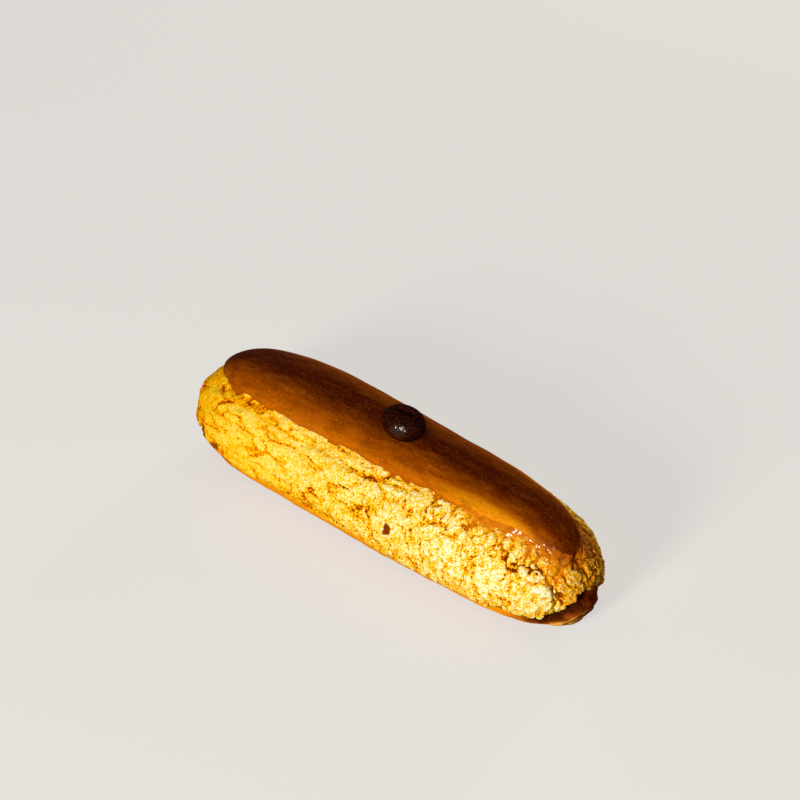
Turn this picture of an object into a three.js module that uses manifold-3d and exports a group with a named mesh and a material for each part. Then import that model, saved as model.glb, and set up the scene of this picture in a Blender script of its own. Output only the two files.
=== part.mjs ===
// A coffee eclair: a choux bun baked under a crackled biscuit crust, a layer of coffee icing along
// its top, and one chocolate coffee bean pressed into the icing.
// Millimetres, +Z up, X along the eclair. The origin is on the flat base, under the middle.
import * as THREE from "three";
import { mergeVertices } from "three/addons/utils/BufferGeometryUtils.js";
import Module from "manifold-3d";

const wasm = await Module();
wasm.setup();

// The bun, without its icing. Its far tip is at -X and its near tip at +X.
const LENGTH = 140;
const WIDTH = 38.8; // across the belly, halfway along
const CROWN = 27.7; // height of the top, halfway along
const BELLY = 10.2; // height of the widest line
const WIDTH_TAPER = -0.11; // the near half is slimmer than the far half
const HEIGHT_TAPER = -0.036;
const FAR_BLUNTNESS = 3.8; // a higher power makes a squarer tip
const NEAR_BLUNTNESS = 6.5;
const UPPER_SQUARENESS = 2.12; // powers of the section above and below the belly
const LOWER_SQUARENESS = 2.1;
const CROWN_FALL = 0.9; // how soon the top drops towards a tip
const HEEL_RISE = 0.36; // how soon the underside lifts towards a tip
const SETTLE = 0.7; // depth by which the round underside is pressed flat
const SWELL = 0.25; // slow unevenness of the sides

// The biscuit crust on the bun
const PLATE_LONG = 16; // crust plates of the far half, stretched along the eclair
const PLATE_HIGH = 6.5;
const PLATE_NEAR = 9; // rounder plates of the near end
const PLATE_RISE = 0.3; // the plates stand proud of the smooth form
const CRACK_WIDTH = 3;
const CRACK_DEPTH_FAR = 0.9;
const CRACK_DEPTH_NEAR = 1.4;
const NEAR_PLATES_FROM = 0.1; // stations between which the plates turn round
const NEAR_PLATES_TO = 0.6;
const CLOSED_GIRTH = 0.35; // towards the tips, the cracks close below this share of the girth
const CRUST_RAMP = 0.25; // how soon the crust reaches its height outside the icing's edge
const LIP_SIDE = 1.2; // height of the crust's lower edge along the sides
const LIP_FAR = 9; // and at the two tips, where it lifts off the bun
const LIP_NEAR = 11.5;
const LIP_SPREAD_FAR = 2.5; // how far the raised edge reaches round each tip
const LIP_SPREAD_NEAR = 1.1;
const LIP_OVERHANG_SIDE = 0.3;
const LIP_OVERHANG_TIP = 1.6;
const LIP_BLEND = 0.7;

// A chip knocked out of the crust on the front side
const CHIP_AT = new THREE.Vector3(20.8, -18.6, 14.3);
const CHIP_WIDTH = 3.1;
const CHIP_HEIGHT = 3.4;
const CHIP_DEPTH = 1.6;

// The icing, seen from above
const ICING_FAR = -62;
const ICING_NEAR = 66.5;
const ICING_HALF_WIDTH = 11.5;
const ICING_TAPER = -2.5; // change of the half width from the middle to the near tip
const ICING_FAR_BLUNTNESS = 3.8;
const ICING_NEAR_BLUNTNESS = 5;
const ICING_WAVE = 0.2; // unevenness of its edge
const ICING_THICKNESS = 2.2;
const ICING_FAR_EXTRA = 0.9; // it was poured thicker at the far tip
const ICING_EXTRA_FROM = -43; // where that extra begins
const ICING_EDGE_POWER = 3; // a higher power makes a steeper rim
const GAP = 0.3; // clearance between touching pieces

// The bean, lying along the eclair with its seam up
const BEAN_LENGTH = 13;
const BEAN_WIDTH = 9.6;
const BEAN_ROUND_SIDE = 4.3; // depth below its widest line
const BEAN_FLAT_SIDE = 3.8; // height above it
const BEAN_SUNK = 1.3;
const BEAN_AT = new THREE.Vector2(9.1, -1.8);
const BEAN_YAW = -0.06;
const SEAM_DEPTH = 1.5;
const SEAM_WIDTH = 1.2;
const SEAM_SWAY = 0.6;
const SEAM_OFFSET = 0.5; // the seam lies a little behind the middle

// Mesh resolution
const BUN_STATIONS = 98;
const BUN_ROWS = 44;
const HIDDEN_ROW_SHARE = 0.5; // rows under the icing and on the base lie further apart
const ICING_STATIONS = 58;
const ICING_TOP_STEPS = 15;
const ICING_SEAT_STEPS = 8;
const BEAN_STATIONS = 20;
const BEAN_ROWS = 20;

const { smoothstep, lerp } = THREE.MathUtils;

// A closed mesh through rings of points, drawn together to one point at each end. Each ring
// goes from its front (-Y) over its top to its back, and the rings follow each other along +X.
function loft(startTip, rings, endTip) {
  const count = rings[0].length;
  const points = [startTip, ...rings.flat(), endTip];
  const last = points.length - 1;
  const at = (ring, j) => 1 + ring * count + (j % count);
  const index = [];
  for (let j = 0; j < count; j++) {
    index.push(0, at(0, j), at(0, j + 1));
    index.push(last, at(rings.length - 1, j + 1), at(rings.length - 1, j));
    for (let ring = 0; ring + 1 < rings.length; ring++) {
      index.push(at(ring, j), at(ring + 1, j), at(ring, j + 1));
      index.push(at(ring + 1, j), at(ring + 1, j + 1), at(ring, j + 1));
    }
  }
  const geometry = new THREE.BufferGeometry().setFromPoints(points);
  return geometry.setIndex(index);
}

function toSolid(geometry) {
  const bare = geometry.clone();
  bare.deleteAttribute("normal");
  bare.deleteAttribute("uv");
  const merged = mergeVertices(bare, 1e-4);
  return new wasm.Manifold(
    new wasm.Mesh({
      numProp: 3,
      vertProperties: merged.attributes.position.array,
      triVerts: new Uint32Array(merged.index.array),
    }),
  );
}

function toGeometry(solid) {
  const mesh = solid.getMesh();
  const positions = new THREE.BufferAttribute(mesh.vertProperties, 3);
  const geometry = new THREE.BufferGeometry().setAttribute("position", positions);
  geometry.setIndex(new THREE.BufferAttribute(mesh.triVerts, 1));
  return geometry;
}

// Parameters from 0 up to, but not including, 1 that divide a curve into steps of even length.
// place gives the curve's point at a parameter, and weight lets a stretch count for less.
function evenSteps(count, place, weight = () => 1) {
  const fine = 2000;
  const reach = [0];
  for (let i = 1; i <= fine; i++) {
    const to = place(i / fine);
    reach.push(reach[i - 1] + place((i - 1) / fine).distanceTo(to) * weight(to));
  }
  return Array.from({ length: count }, (_, step) => {
    const wanted = (reach[fine] * step) / count;
    return reach.findIndex((length) => length >= wanted) / fine;
  });
}

// A station from -1 to 1 for a share from 0 to 1, crowded towards the tips.
const station = (share) => -Math.cos(Math.PI * share);

// Stations between the tips, evenly spaced along the side's outline.
function evenStations(count, outline) {
  return evenSteps(count + 1, (share) => outline(station(share)))
    .slice(1)
    .map(station);
}

// Share of the bun's full girth at station s: 1 in the middle and 0 at the tips.
function girth(s) {
  const bluntness = s < 0 ? FAR_BLUNTNESS : NEAR_BLUNTNESS;
  return Math.sqrt(Math.max(0, 1 - Math.abs(s) ** bluntness));
}

// Slow swell of a side: the two sides differ, and it fades out at the tips, crown and base.
function swell(s, side) {
  const wave = Math.sin(7 * s + 1 + Math.sign(side)) + 0.6 * Math.sin(15 * s + 3 * Math.sign(side));
  return SWELL * wave * girth(s) * side ** 2;
}

// A point of the smooth bun. turn goes once round the section: 0 under the base, 0.25 at the
// front belly (-Y), 0.5 on the crown and 0.75 at the back belly.
function bunPoint(s, turn) {
  const share = girth(s);
  const belly = BELLY + SETTLE;
  const fullCrown = (CROWN + SETTLE) * (1 + HEIGHT_TAPER * s);
  const crown = belly + (fullCrown - belly) * share ** CROWN_FALL;
  const low = belly * (1 - share ** HEEL_RISE);
  const halfWidth = (WIDTH / 2) * share * (1 + WIDTH_TAPER * s);
  const up = -Math.cos(2 * Math.PI * turn);
  const side = -Math.sin(2 * Math.PI * turn);
  const power = 2 / (up < 0 ? LOWER_SQUARENESS : UPPER_SQUARENESS);
  const y = Math.sign(side) * (halfWidth * Math.abs(side) ** power + swell(s, side));
  const z = belly + ((up < 0 ? low : crown) - belly) * Math.abs(up) ** power;
  return new THREE.Vector3((LENGTH / 2) * s, y, Math.max(0, z - SETTLE));
}

function bunNormal(s, turn) {
  const step = 1e-3;
  const inward = s > 0 ? -step : step;
  const along = bunPoint(s + inward, turn).sub(bunPoint(s, turn)).multiplyScalar(Math.sign(inward));
  const round = bunPoint(s, turn + step).sub(bunPoint(s, turn - step));
  return along.cross(round).normalize();
}

// Three repeatable random numbers from 0 to 1 for one cell of a grid.
function cellRandoms(i, j, k) {
  return [1, 2, 3].map((salt) => {
    let h = Math.imul(i, 374761393) ^ Math.imul(j, 668265263) ^ Math.imul(k, 1274126177);
    h = Math.imul(h ^ (h >>> 13) ^ Math.imul(salt, 1103515245), 1540483477);
    h = Math.imul(h ^ (h >>> 15), 668265263);
    return ((h ^ (h >>> 13)) >>> 0) / 4294967296;
  });
}

// How far a point is from the border between crust plates: the difference between its distances
// to the nearest and the second nearest plate centre, in plates.
function plateBorder(x, y, z) {
  const cell = [x, y, z].map(Math.floor);
  let nearest = Infinity;
  let second = Infinity;
  for (let i = cell[0] - 1; i <= cell[0] + 1; i++)
    for (let j = cell[1] - 1; j <= cell[1] + 1; j++)
      for (let k = cell[2] - 1; k <= cell[2] + 1; k++) {
        const [a, b, c] = cellRandoms(i, j, k);
        const far = Math.hypot(i + a - x, j + b - y, k + c - z);
        if (far < nearest) {
          second = nearest;
          nearest = far;
        } else second = Math.min(second, far);
      }
  return second - nearest;
}

// Height of the crust over the smooth form, with cracks between its plates: long thin plates on
// the far half, rounder ones with deeper cracks at the near end, and no cracks at the very tips.
function crustHeight(p, s) {
  const nearShare = smoothstep(s, NEAR_PLATES_FROM, NEAR_PLATES_TO);
  const long = plateBorder(p.x / PLATE_LONG, p.y / PLATE_HIGH, p.z / PLATE_HIGH) * PLATE_HIGH;
  const round = plateBorder(p.x / PLATE_NEAR, p.y / PLATE_NEAR, p.z / PLATE_NEAR) * PLATE_NEAR;
  const border = lerp(long, round, nearShare);
  const depth = lerp(CRACK_DEPTH_FAR, CRACK_DEPTH_NEAR, nearShare);
  const open = smoothstep(girth(s), 0, CLOSED_GIRTH);
  return PLATE_RISE - depth * open * (1 - smoothstep(border, 0, CRACK_WIDTH));
}

// Height of the baked surface over the smooth form: the crust down to its lower edge, and below
// it the bare bun, which lies deepest just under the edge and comes forward again at the foot.
function bakedHeight(p, s) {
  const tipShare = 1 - girth(s);
  const [height, spread] = s < 0 ? [LIP_FAR, LIP_SPREAD_FAR] : [LIP_NEAR, LIP_SPREAD_NEAR];
  const lip = lerp(LIP_SIDE, height, Math.min(1, tipShare * spread));
  const overhang = lerp(LIP_OVERHANG_SIDE, LIP_OVERHANG_TIP, Math.sqrt(tipShare));
  const below = 1 - smoothstep(p.z, lip - LIP_BLEND, lip + LIP_BLEND);
  const bareHeight = -overhang * Math.min(1, p.z / lip);
  return lerp(crustHeight(p, s), bareHeight, below);
}

// The icing's outline from above: under 1 inside it, 1 on its edge.
function icingReach(x, y) {
  const along = (2 * x - ICING_FAR - ICING_NEAR) / (ICING_NEAR - ICING_FAR);
  const wave = Math.sin(0.21 * x + Math.sign(y)) + 0.7 * Math.sin(0.47 * x + 2 * Math.sign(y));
  const halfWidth = ICING_HALF_WIDTH + ICING_TAPER * along + ICING_WAVE * wave;
  const bluntness = along < 0 ? ICING_FAR_BLUNTNESS : ICING_NEAR_BLUNTNESS;
  return (y / halfWidth) ** 2 + Math.abs(along) ** bluntness;
}

// A point of the baked bun: the smooth form with its cracks and lip, and plain under the icing.
function bakedPoint(s, turn) {
  const p = bunPoint(s, turn);
  if (p.z === 0) return p;
  const isTop = turn > 0.25 && turn < 0.75;
  const bare = isTop ? smoothstep(icingReach(p.x, p.y), 1, 1 + CRUST_RAMP) : 1;
  p.addScaledVector(bunNormal(s, turn), bare * bakedHeight(p, s));
  p.z = Math.max(0, p.z);
  return p;
}

function makeBun() {
  const isHidden = (p) => p.z === 0 || (p.z > BELLY && icingReach(0, p.y) < 1);
  const rowWeight = (p) => (isHidden(p) ? HIDDEN_ROW_SHARE : 1);
  const turns = evenSteps(BUN_ROWS, (turn) => bunPoint(0, turn), rowWeight);
  const places = evenStations(BUN_STATIONS, (s) => bunPoint(s, 0.25));
  const rings = places.map((s) => turns.map((turn) => bakedPoint(s, turn)));
  const tip = (ring) => {
    const centre = new THREE.Vector3();
    ring.forEach((p) => centre.addScaledVector(p, 1 / ring.length));
    return centre;
  };
  const bun = loft(tip(rings[0]), rings, tip(rings.at(-1)));
  return toSolid(bun).subtract(makeChip());
}

// The chip is four-sided, with an upright left side and a sloping foot.
function makeChip() {
  const outline = new THREE.Shape();
  outline.moveTo(-0.45 * CHIP_WIDTH, -0.6 * CHIP_HEIGHT);
  outline.lineTo(0.4 * CHIP_WIDTH, -0.3 * CHIP_HEIGHT);
  outline.lineTo(0.55 * CHIP_WIDTH, 0.2 * CHIP_HEIGHT);
  outline.lineTo(-0.3 * CHIP_WIDTH, 0.4 * CHIP_HEIGHT);
  outline.closePath();
  const depth = 2 * CHIP_DEPTH;
  const chip = new THREE.ExtrudeGeometry(outline, { depth, bevelEnabled: false });
  chip.translate(0, 0, -depth / 2).rotateX(Math.PI / 2);
  chip.translate(CHIP_AT.x, CHIP_AT.y, CHIP_AT.z);
  return toSolid(chip);
}

// The icing's seat on the bun at (x, y), and the bun's normal there, found on the upper arc.
function icingSeat(x, y) {
  const s = (2 * x) / LENGTH;
  let [low, high] = [0.25, 0.75];
  for (let i = 0; i < 40; i++) {
    const middle = (low + high) / 2;
    if (bunPoint(s, middle).y < y) low = middle;
    else high = middle;
  }
  return { point: bunPoint(s, low), normal: bunNormal(s, low) };
}

// Thickness of the icing at (x, y): even over the middle and rounded off at its edge.
function icingThickness(x, y) {
  const reach = Math.min(1, icingReach(x, y));
  const full = ICING_THICKNESS + ICING_FAR_EXTRA * smoothstep(-x, -ICING_EXTRA_FROM, -ICING_FAR);
  return full * Math.sqrt(1 - reach ** ICING_EDGE_POWER);
}

function icingPoint(x, y, thickness) {
  const { point, normal } = icingSeat(x, y);
  return point.addScaledVector(normal, GAP + thickness);
}

// The edge of the icing at x, on the side that sign gives.
function icingEdge(x, sign) {
  let [inside, outside] = [0, WIDTH / 2];
  for (let i = 0; i < 40; i++) {
    const middle = (inside + outside) / 2;
    if (icingReach(x, sign * middle) < 1) inside = middle;
    else outside = middle;
  }
  return sign * inside;
}

// One ring of the icing: back along its upper face, then forward along its seat.
function icingRing(x) {
  const front = icingEdge(x, -1);
  const back = icingEdge(x, 1);
  const across = (share) => lerp(front, back, (1 - Math.cos(Math.PI * share)) / 2);
  const ring = [];
  for (let i = 0; i <= ICING_TOP_STEPS; i++) {
    const y = across(i / ICING_TOP_STEPS);
    ring.push(icingPoint(x, y, icingThickness(x, y)));
  }
  for (let i = ICING_SEAT_STEPS - 1; i > 0; i--) {
    ring.push(icingPoint(x, across(i / ICING_SEAT_STEPS), 0));
  }
  return ring;
}

function makeIcing() {
  const middle = (ICING_FAR + ICING_NEAR) / 2;
  const half = (ICING_NEAR - ICING_FAR) / 2;
  const xAt = (s) => middle + half * s;
  const places = evenStations(ICING_STATIONS, (s) => new THREE.Vector2(xAt(s), icingEdge(xAt(s), -1)));
  const rings = places.map((s) => icingRing(xAt(s)));
  const icing = loft(icingPoint(ICING_FAR, 0, 0), rings, icingPoint(ICING_NEAR, 0, 0));
  return toSolid(icing).subtract(toSolid(placeBean(beanGeometry(GAP))));
}

// The bean in its own frame: length along X, seam up, with extra material all round.
function beanGeometry(extra) {
  const half = BEAN_LENGTH / 2 + extra;
  const share = (u) => Math.sqrt(1 - u * u);
  const ring = (u) => {
    const seam = SEAM_DEPTH * share(u) ** 2;
    const seamLine = SEAM_OFFSET + SEAM_SWAY * Math.sin(Math.PI * u);
    return Array.from({ length: BEAN_ROWS }, (_, row) => {
      const angle = (-2 * Math.PI * row) / BEAN_ROWS;
      const y = share(u) * (BEAN_WIDTH / 2 + extra) * Math.cos(angle);
      const side = Math.sin(angle) < 0 ? BEAN_ROUND_SIDE : BEAN_FLAT_SIDE;
      const z = share(u) * (side + extra) * Math.sin(angle);
      const groove = z > 0 ? seam * Math.exp(-(((y - seamLine) / SEAM_WIDTH) ** 2)) : 0;
      return new THREE.Vector3(half * u, y, z - groove);
    });
  };
  const outline = (u) => new THREE.Vector2(half * u, (BEAN_WIDTH / 2) * share(u));
  const tip = (u) => new THREE.Vector3(half * u, 0, 0);
  return loft(tip(-1), evenStations(BEAN_STATIONS, outline).map(ring), tip(1));
}

// Lays the bean on the icing, tilted to the slope there, its round side sunk in.
function placeBean(geometry) {
  const { point, normal } = icingSeat(BEAN_AT.x, BEAN_AT.y);
  const lift = GAP + icingThickness(BEAN_AT.x, BEAN_AT.y) + BEAN_ROUND_SIDE - BEAN_SUNK;
  const slope = new THREE.Quaternion().setFromUnitVectors(new THREE.Vector3(0, 0, 1), normal);
  const centre = point.addScaledVector(normal, lift);
  geometry.rotateZ(BEAN_YAW).applyQuaternion(slope);
  return geometry.translate(centre.x, centre.y, centre.z);
}

function addPiece(group, name, geometry, color, roughness) {
  const material = new THREE.MeshStandardMaterial({ color, roughness, metalness: 0 });
  const mesh = new THREE.Mesh(geometry, material);
  mesh.name = name;
  group.add(mesh);
}

const eclair = new THREE.Group();
addPiece(eclair, "choux_bun", toGeometry(makeBun()), "#dda43c", 0.85);
addPiece(eclair, "coffee_icing", toGeometry(makeIcing()), "#86480f", 0.35);
addPiece(eclair, "coffee_bean", placeBean(beanGeometry(0)), "#2b120b", 0.4);

export default eclair;
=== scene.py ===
# %% [markdown]
# # A coffee eclair
# The real thing has three pieces: a choux bun baked under a sweet biscuit crust that cracked as the
# bun swelled, a coat of coffee icing along its top, and a chocolate coffee bean pressed into it.
# The solids that come with the part fix where each piece is and how big. This lesson keeps those
# forms and gives each one its fine surface, so it starts by loading the solids and noting their box.

# %% Load the solids
import math

import bpy
import numpy as np
from mathutils import Matrix, Vector


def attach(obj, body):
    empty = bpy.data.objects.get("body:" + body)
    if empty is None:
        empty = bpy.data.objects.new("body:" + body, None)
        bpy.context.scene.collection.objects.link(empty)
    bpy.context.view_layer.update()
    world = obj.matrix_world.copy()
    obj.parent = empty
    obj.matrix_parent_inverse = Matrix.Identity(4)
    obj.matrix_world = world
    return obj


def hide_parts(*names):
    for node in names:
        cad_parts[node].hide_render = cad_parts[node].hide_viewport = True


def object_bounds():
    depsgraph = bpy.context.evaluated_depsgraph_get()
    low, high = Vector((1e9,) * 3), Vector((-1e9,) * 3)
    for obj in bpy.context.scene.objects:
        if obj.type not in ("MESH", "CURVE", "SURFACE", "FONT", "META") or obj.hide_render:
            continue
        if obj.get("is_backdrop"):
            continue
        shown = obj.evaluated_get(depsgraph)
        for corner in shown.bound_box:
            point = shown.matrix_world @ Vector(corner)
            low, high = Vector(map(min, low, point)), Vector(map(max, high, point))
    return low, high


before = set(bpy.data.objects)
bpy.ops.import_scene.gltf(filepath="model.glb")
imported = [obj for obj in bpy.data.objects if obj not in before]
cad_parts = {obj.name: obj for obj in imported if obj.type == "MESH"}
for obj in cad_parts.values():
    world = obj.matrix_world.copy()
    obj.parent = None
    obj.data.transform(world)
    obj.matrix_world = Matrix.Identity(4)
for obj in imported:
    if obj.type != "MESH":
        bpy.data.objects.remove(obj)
solid_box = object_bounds()
MM = 0.001  # the sizes below are in millimetres, and Blender's are in metres
print("pieces to dress:", sorted(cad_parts))

# %% [markdown]
# ## Camera
# A small thing seen from half a metre away looks flat and calm when the lens is long, so the
# camera stands back with a long lens and looks down past the craggy end. It could track a target,
# but a matrix made of three directions says exactly where it points, with its slight roll.

# %% Camera
CAMERA_AZIMUTH = 49.0
CAMERA_ELEVATION = 28.5
CAMERA_ROLL = -1.2
CAMERA_DISTANCE = 612.5
CAMERA_OFF_CENTRE = (-2.97, -30.5)  # how far the eclair lies right of and above the picture's middle
LENS_FOR_36_MM = 108.0
CLIP_START = 0.01  # in metres; nothing nearer to the lens is drawn


def direction(azimuth, elevation):
    """The unit vector from the eclair towards a place around it; azimuth 0 is in front, at -Y."""
    a, e = math.radians(azimuth), math.radians(elevation)
    return Vector((math.sin(a) * math.cos(e), -math.cos(a) * math.cos(e), math.sin(e)))


def make_camera():
    """The scene's camera, looking along the given direction with its roll."""
    back = direction(CAMERA_AZIMUTH, CAMERA_ELEVATION)
    level = Vector((0, 0, 1)).cross(back).normalized()
    upright = back.cross(level)
    roll = math.radians(CAMERA_ROLL)
    right = math.cos(roll) * level + math.sin(roll) * upright
    up = math.cos(roll) * upright - math.sin(roll) * level
    place = back * CAMERA_DISTANCE - right * CAMERA_OFF_CENTRE[0] - up * CAMERA_OFF_CENTRE[1]
    camera = bpy.data.objects.new("camera", bpy.data.cameras.new("camera"))
    camera.data.lens = LENS_FOR_36_MM
    camera.data.clip_start = CLIP_START
    turn = Matrix((right, up, back)).transposed()
    camera.matrix_world = Matrix.Translation(place * MM) @ turn.to_4x4()
    bpy.context.scene.collection.objects.link(camera)
    bpy.context.scene.camera = camera
    return camera


camera = make_camera()
print("camera stands at", [round(x, 3) for x in camera.matrix_world.translation])

# %% [markdown]
# ## Light
# The crust shows its crumb only when light rakes over it. One big soft lamp would be simpler, but it
# flattens the crumb, so a fairly small one stands low in front, a little towards the near end: the
# side glows and the top of the icing stays deep brown. A second low lamp keeps the back from going
# black. It is left out of reflections, where it would lay a haze over the icing. A dim warm world
# fills the shadows, and Blender's Standard view keeps golden yellows as strong as they are mixed.

# %% Light
KEY = dict(azimuth=19, elevation=18, distance=0.9, size=0.2, watts=8.9, colour=(1.0, 0.95, 0.84))
BACK = dict(azimuth=200, elevation=7, distance=1.2, size=0.24, watts=11.0, colour=(1.0, 0.91, 0.74))
WORLD_COLOUR = (1.0, 0.86, 0.62, 1.0)
WORLD_STRENGTH = 0.18


def add_softbox(name, azimuth, elevation, distance, size, watts, colour, is_mirrored=True):
    """A square lamp aimed at the eclair; distance and size are in metres, and no camera sees it."""
    lamp = bpy.data.lights.new(name, "AREA")
    lamp.size = size
    lamp.energy = watts
    lamp.color = colour
    holder = bpy.data.objects.new(name, lamp)
    towards = direction(azimuth, elevation)
    holder.location = towards * distance
    holder.rotation_euler = towards.to_track_quat("Z", "Y").to_euler()
    holder.visible_camera = False
    holder.visible_glossy = is_mirrored
    bpy.context.scene.collection.objects.link(holder)


add_softbox("key_light", **KEY)
add_softbox("back_light", **BACK, is_mirrored=False)
world = bpy.data.worlds.new("pale_room")
world.use_nodes = True
world.node_tree.nodes["Background"].inputs["Color"].default_value = WORLD_COLOUR
world.node_tree.nodes["Background"].inputs["Strength"].default_value = WORLD_STRENGTH
bpy.context.scene.world = world
bpy.context.scene.view_settings.view_transform = "Standard"

# %% [markdown]
# ## Chance that repeats
# Crumb, cracks and pits are uneven, but every run has to give the same eclair. A hash of a grid
# cell's three numbers gives each cell its own random numbers without any stored state. Two kinds of
# unevenness come from it: soft noise, blended between the cells' corners, and distances to one
# random point per cell, which make plates, grains and pits.

# %% Hash and soft noise
HASH_PRIMES = [np.uint32(prime) for prime in (374761393, 668265263, 1274126177)]
HASH_SALT, HASH_STIR = np.uint32(1103515245), np.uint32(1540483477)
HASH_SHIFTS = np.uint32(13), np.uint32(15)


def lerp(start, end, share):
    """The value at a share of the way from start to end."""
    return start + (end - start) * share


def smoothstep(low, high, value):
    """0 below low, 1 above high, and a smooth rise between."""
    share = np.clip((value - low) / (high - low), 0, 1)
    return share * share * (3 - 2 * share)


def cell_random(cell, salt):
    """A number from 0 to 1 for each whole-numbered grid cell."""
    i, j, k = np.moveaxis(cell.astype(np.int64).astype(np.uint32), -1, 0)
    first, second, third = HASH_PRIMES
    short, long = HASH_SHIFTS
    h = i * first ^ j * second ^ k * third
    h = (h ^ (h >> short) ^ (np.array([salt], np.uint32) * HASH_SALT)) * HASH_STIR
    h = (h ^ (h >> long)) * second
    return (h ^ (h >> short)) / 2**32


def soft_noise(points, salt=1):
    """Smooth unevenness from -1 to 1, about one unit across."""
    cell = np.floor(points)
    share = points - cell
    share = share**3 * (share * (share * 6 - 15) + 10)
    total = 0
    for corner in np.ndindex(2, 2, 2):
        weight = np.prod(np.where(corner, share, 1 - share), axis=-1)
        total = total + weight * cell_random(cell + corner, salt)
    return 2 * total - 1


probe = soft_noise(np.random.default_rng(1).uniform(0, 50, (2000, 3)))
print("soft noise spreads by", round(float(probe.std()), 2))

# %% Cells with a random point each
POINT_SALTS, LOT_SALT = (1, 2, 3), 4
NEIGHBOURS = [np.array(step) - 1 for step in np.ndindex(3, 3, 3)]
NO_SLOPE = 1e-6  # a cell has no border with itself


def cell_point(cell):
    """The random point that lies in each cell."""
    return cell + np.stack([cell_random(cell, salt) for salt in POINT_SALTS], axis=-1)


def nearest_cell(points):
    """The nearest cell point, the distance to it, and its cell's own number."""
    home = np.floor(points)
    distance = np.full(points.shape[:-1], np.inf)
    seed = np.zeros_like(points)
    lot = np.zeros_like(distance)
    for step in NEIGHBOURS:
        other = cell_point(home + step)
        far = np.linalg.norm(other - points, axis=-1)
        closer = far < distance
        seed = np.where(closer[..., None], other, seed)
        lot = np.where(closer, cell_random(home + step, LOT_SALT), lot)
        distance = np.where(closer, far, distance)
    return seed, distance, lot


def plate_border(points, size):
    """Distance in millimetres to the border of the cell around each point, and the cell's number."""
    scaled = points / size
    home = np.floor(scaled)
    seed, _, lot = nearest_cell(scaled)
    border = np.full(points.shape[:-1], np.inf)
    for step in NEIGHBOURS:
        apart = cell_point(home + step) - seed
        slope = np.linalg.norm(apart / size, axis=-1)
        ahead = np.sum((seed + apart / 2 - scaled) * apart, axis=-1)
        nearer = np.minimum(border, ahead / np.maximum(slope, NO_SLOPE))
        border = np.where(slope > NO_SLOPE, nearer, border)
    return border, lot


print("each cell is compared with", len(NEIGHBOURS), "cells, itself among them")

# %% [markdown]
# ## The bun's form
# A piped bun is a bar with blunt ends, a flat base and a domed top. It could be sculpted from a
# cylinder, but the solid was worked out from a few sizes, so the same sizes and the same formula
# give exactly its form, at any fineness. A station goes from -1 at the far tip to 1 at the near tip,
# and a turn goes once round the section: 0 under the base, 0.25 at the front, 0.5 on the crown.

# %% Smooth bun
LENGTH = 140
WIDTH = 38.8
CROWN = 27.7
BELLY = 10.2
WIDTH_TAPER = -0.11
HEIGHT_TAPER = -0.036
FAR_BLUNTNESS = 3.8
NEAR_BLUNTNESS = 6.5
UPPER_SQUARENESS = 2.12
LOWER_SQUARENESS = 2.1
CROWN_FALL = 0.9
HEEL_RISE = 0.36
SETTLE = 0.7
SWELL, SWELL_WAVES = 0.25, (7, 15)  # height of the sides' waves, and radians in half a length
QUICK_SWELL = 0.6  # the quicker wave's height against the slower one's
NO_LENGTH = 1e-12
FINE_SAMPLES = 4001  # how closely a curve is followed to measure its length


def girth(s):
    """Share of the full girth at a station: 1 in the middle and 0 at the tips."""
    bluntness = np.where(s < 0, FAR_BLUNTNESS, NEAR_BLUNTNESS)
    return np.sqrt(np.maximum(0, 1 - np.abs(s) ** bluntness))


def bun_point(s, turn):
    """The point of the smooth bun at a station and a turn."""
    share = girth(s)
    belly = BELLY + SETTLE
    full_crown = (CROWN + SETTLE) * (1 + HEIGHT_TAPER * s)
    crown = belly + (full_crown - belly) * share**CROWN_FALL
    low = belly * (1 - share**HEEL_RISE)
    half_width = WIDTH / 2 * share * (1 + WIDTH_TAPER * s)
    up = -np.cos(2 * np.pi * turn)
    side = -np.sin(2 * np.pi * turn)
    power = 2 / np.where(up < 0, LOWER_SQUARENESS, UPPER_SQUARENESS)
    slow, quick = SWELL_WAVES
    wave = np.sin(slow * s + 1 + np.sign(side)) + QUICK_SWELL * np.sin(quick * s + 3 * np.sign(side))
    swell = SWELL * wave * share * side**2
    y = np.sign(side) * (half_width * np.abs(side) ** power + swell)
    z = belly + (np.where(up < 0, low, crown) - belly) * np.abs(up) ** power
    x = np.broadcast_to(LENGTH / 2 * s, z.shape)
    return np.stack([x, y, np.maximum(0, z - SETTLE)], axis=-1)


def bun_normal(s, turn):
    """The smooth bun's outward direction, from points a small step apart."""
    step = 1e-3
    inward = np.where(s > 0, -step, step)
    along = (bun_point(s + inward, turn) - bun_point(s, turn)) * np.sign(inward)[..., None]
    around = bun_point(s, turn + step) - bun_point(s, turn - step)
    normal = np.cross(along, around)
    return normal / np.maximum(NO_LENGTH, np.linalg.norm(normal, axis=-1, keepdims=True))


def even_steps(count, points, parameters, weight=1):
    """Parameters that divide a curve, given by many points, into steps of even weighted length."""
    lengths = np.linalg.norm(np.diff(points, axis=0), axis=1) * weight
    reach = np.concatenate([[0], np.cumsum(lengths)])
    return np.interp(np.arange(count) / count * reach[-1], reach, parameters)


def even_stations(count, outline):
    """Stations between the tips, evenly spaced along the side's outline."""
    fine = -np.cos(np.pi * np.linspace(0, 1, FINE_SAMPLES))
    return even_steps(count + 1, outline(fine), fine)[1:]


middle = bun_point(np.zeros(200), np.arange(200) / 200)
print("middle of the bun is", np.ptp(middle, axis=0).round(1)[1:], "mm wide and high")

# %% [markdown]
# ## Where the icing lies
# The crust needs to know where the icing covers it, so the icing's outline comes first. Seen from
# above it is a long drop shape. It could be drawn as a curve, but then each point would have to be
# measured against the curve's pieces. A formula gives one number at any point: under 1 inside, 1 on
# the edge and more outside.

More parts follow.
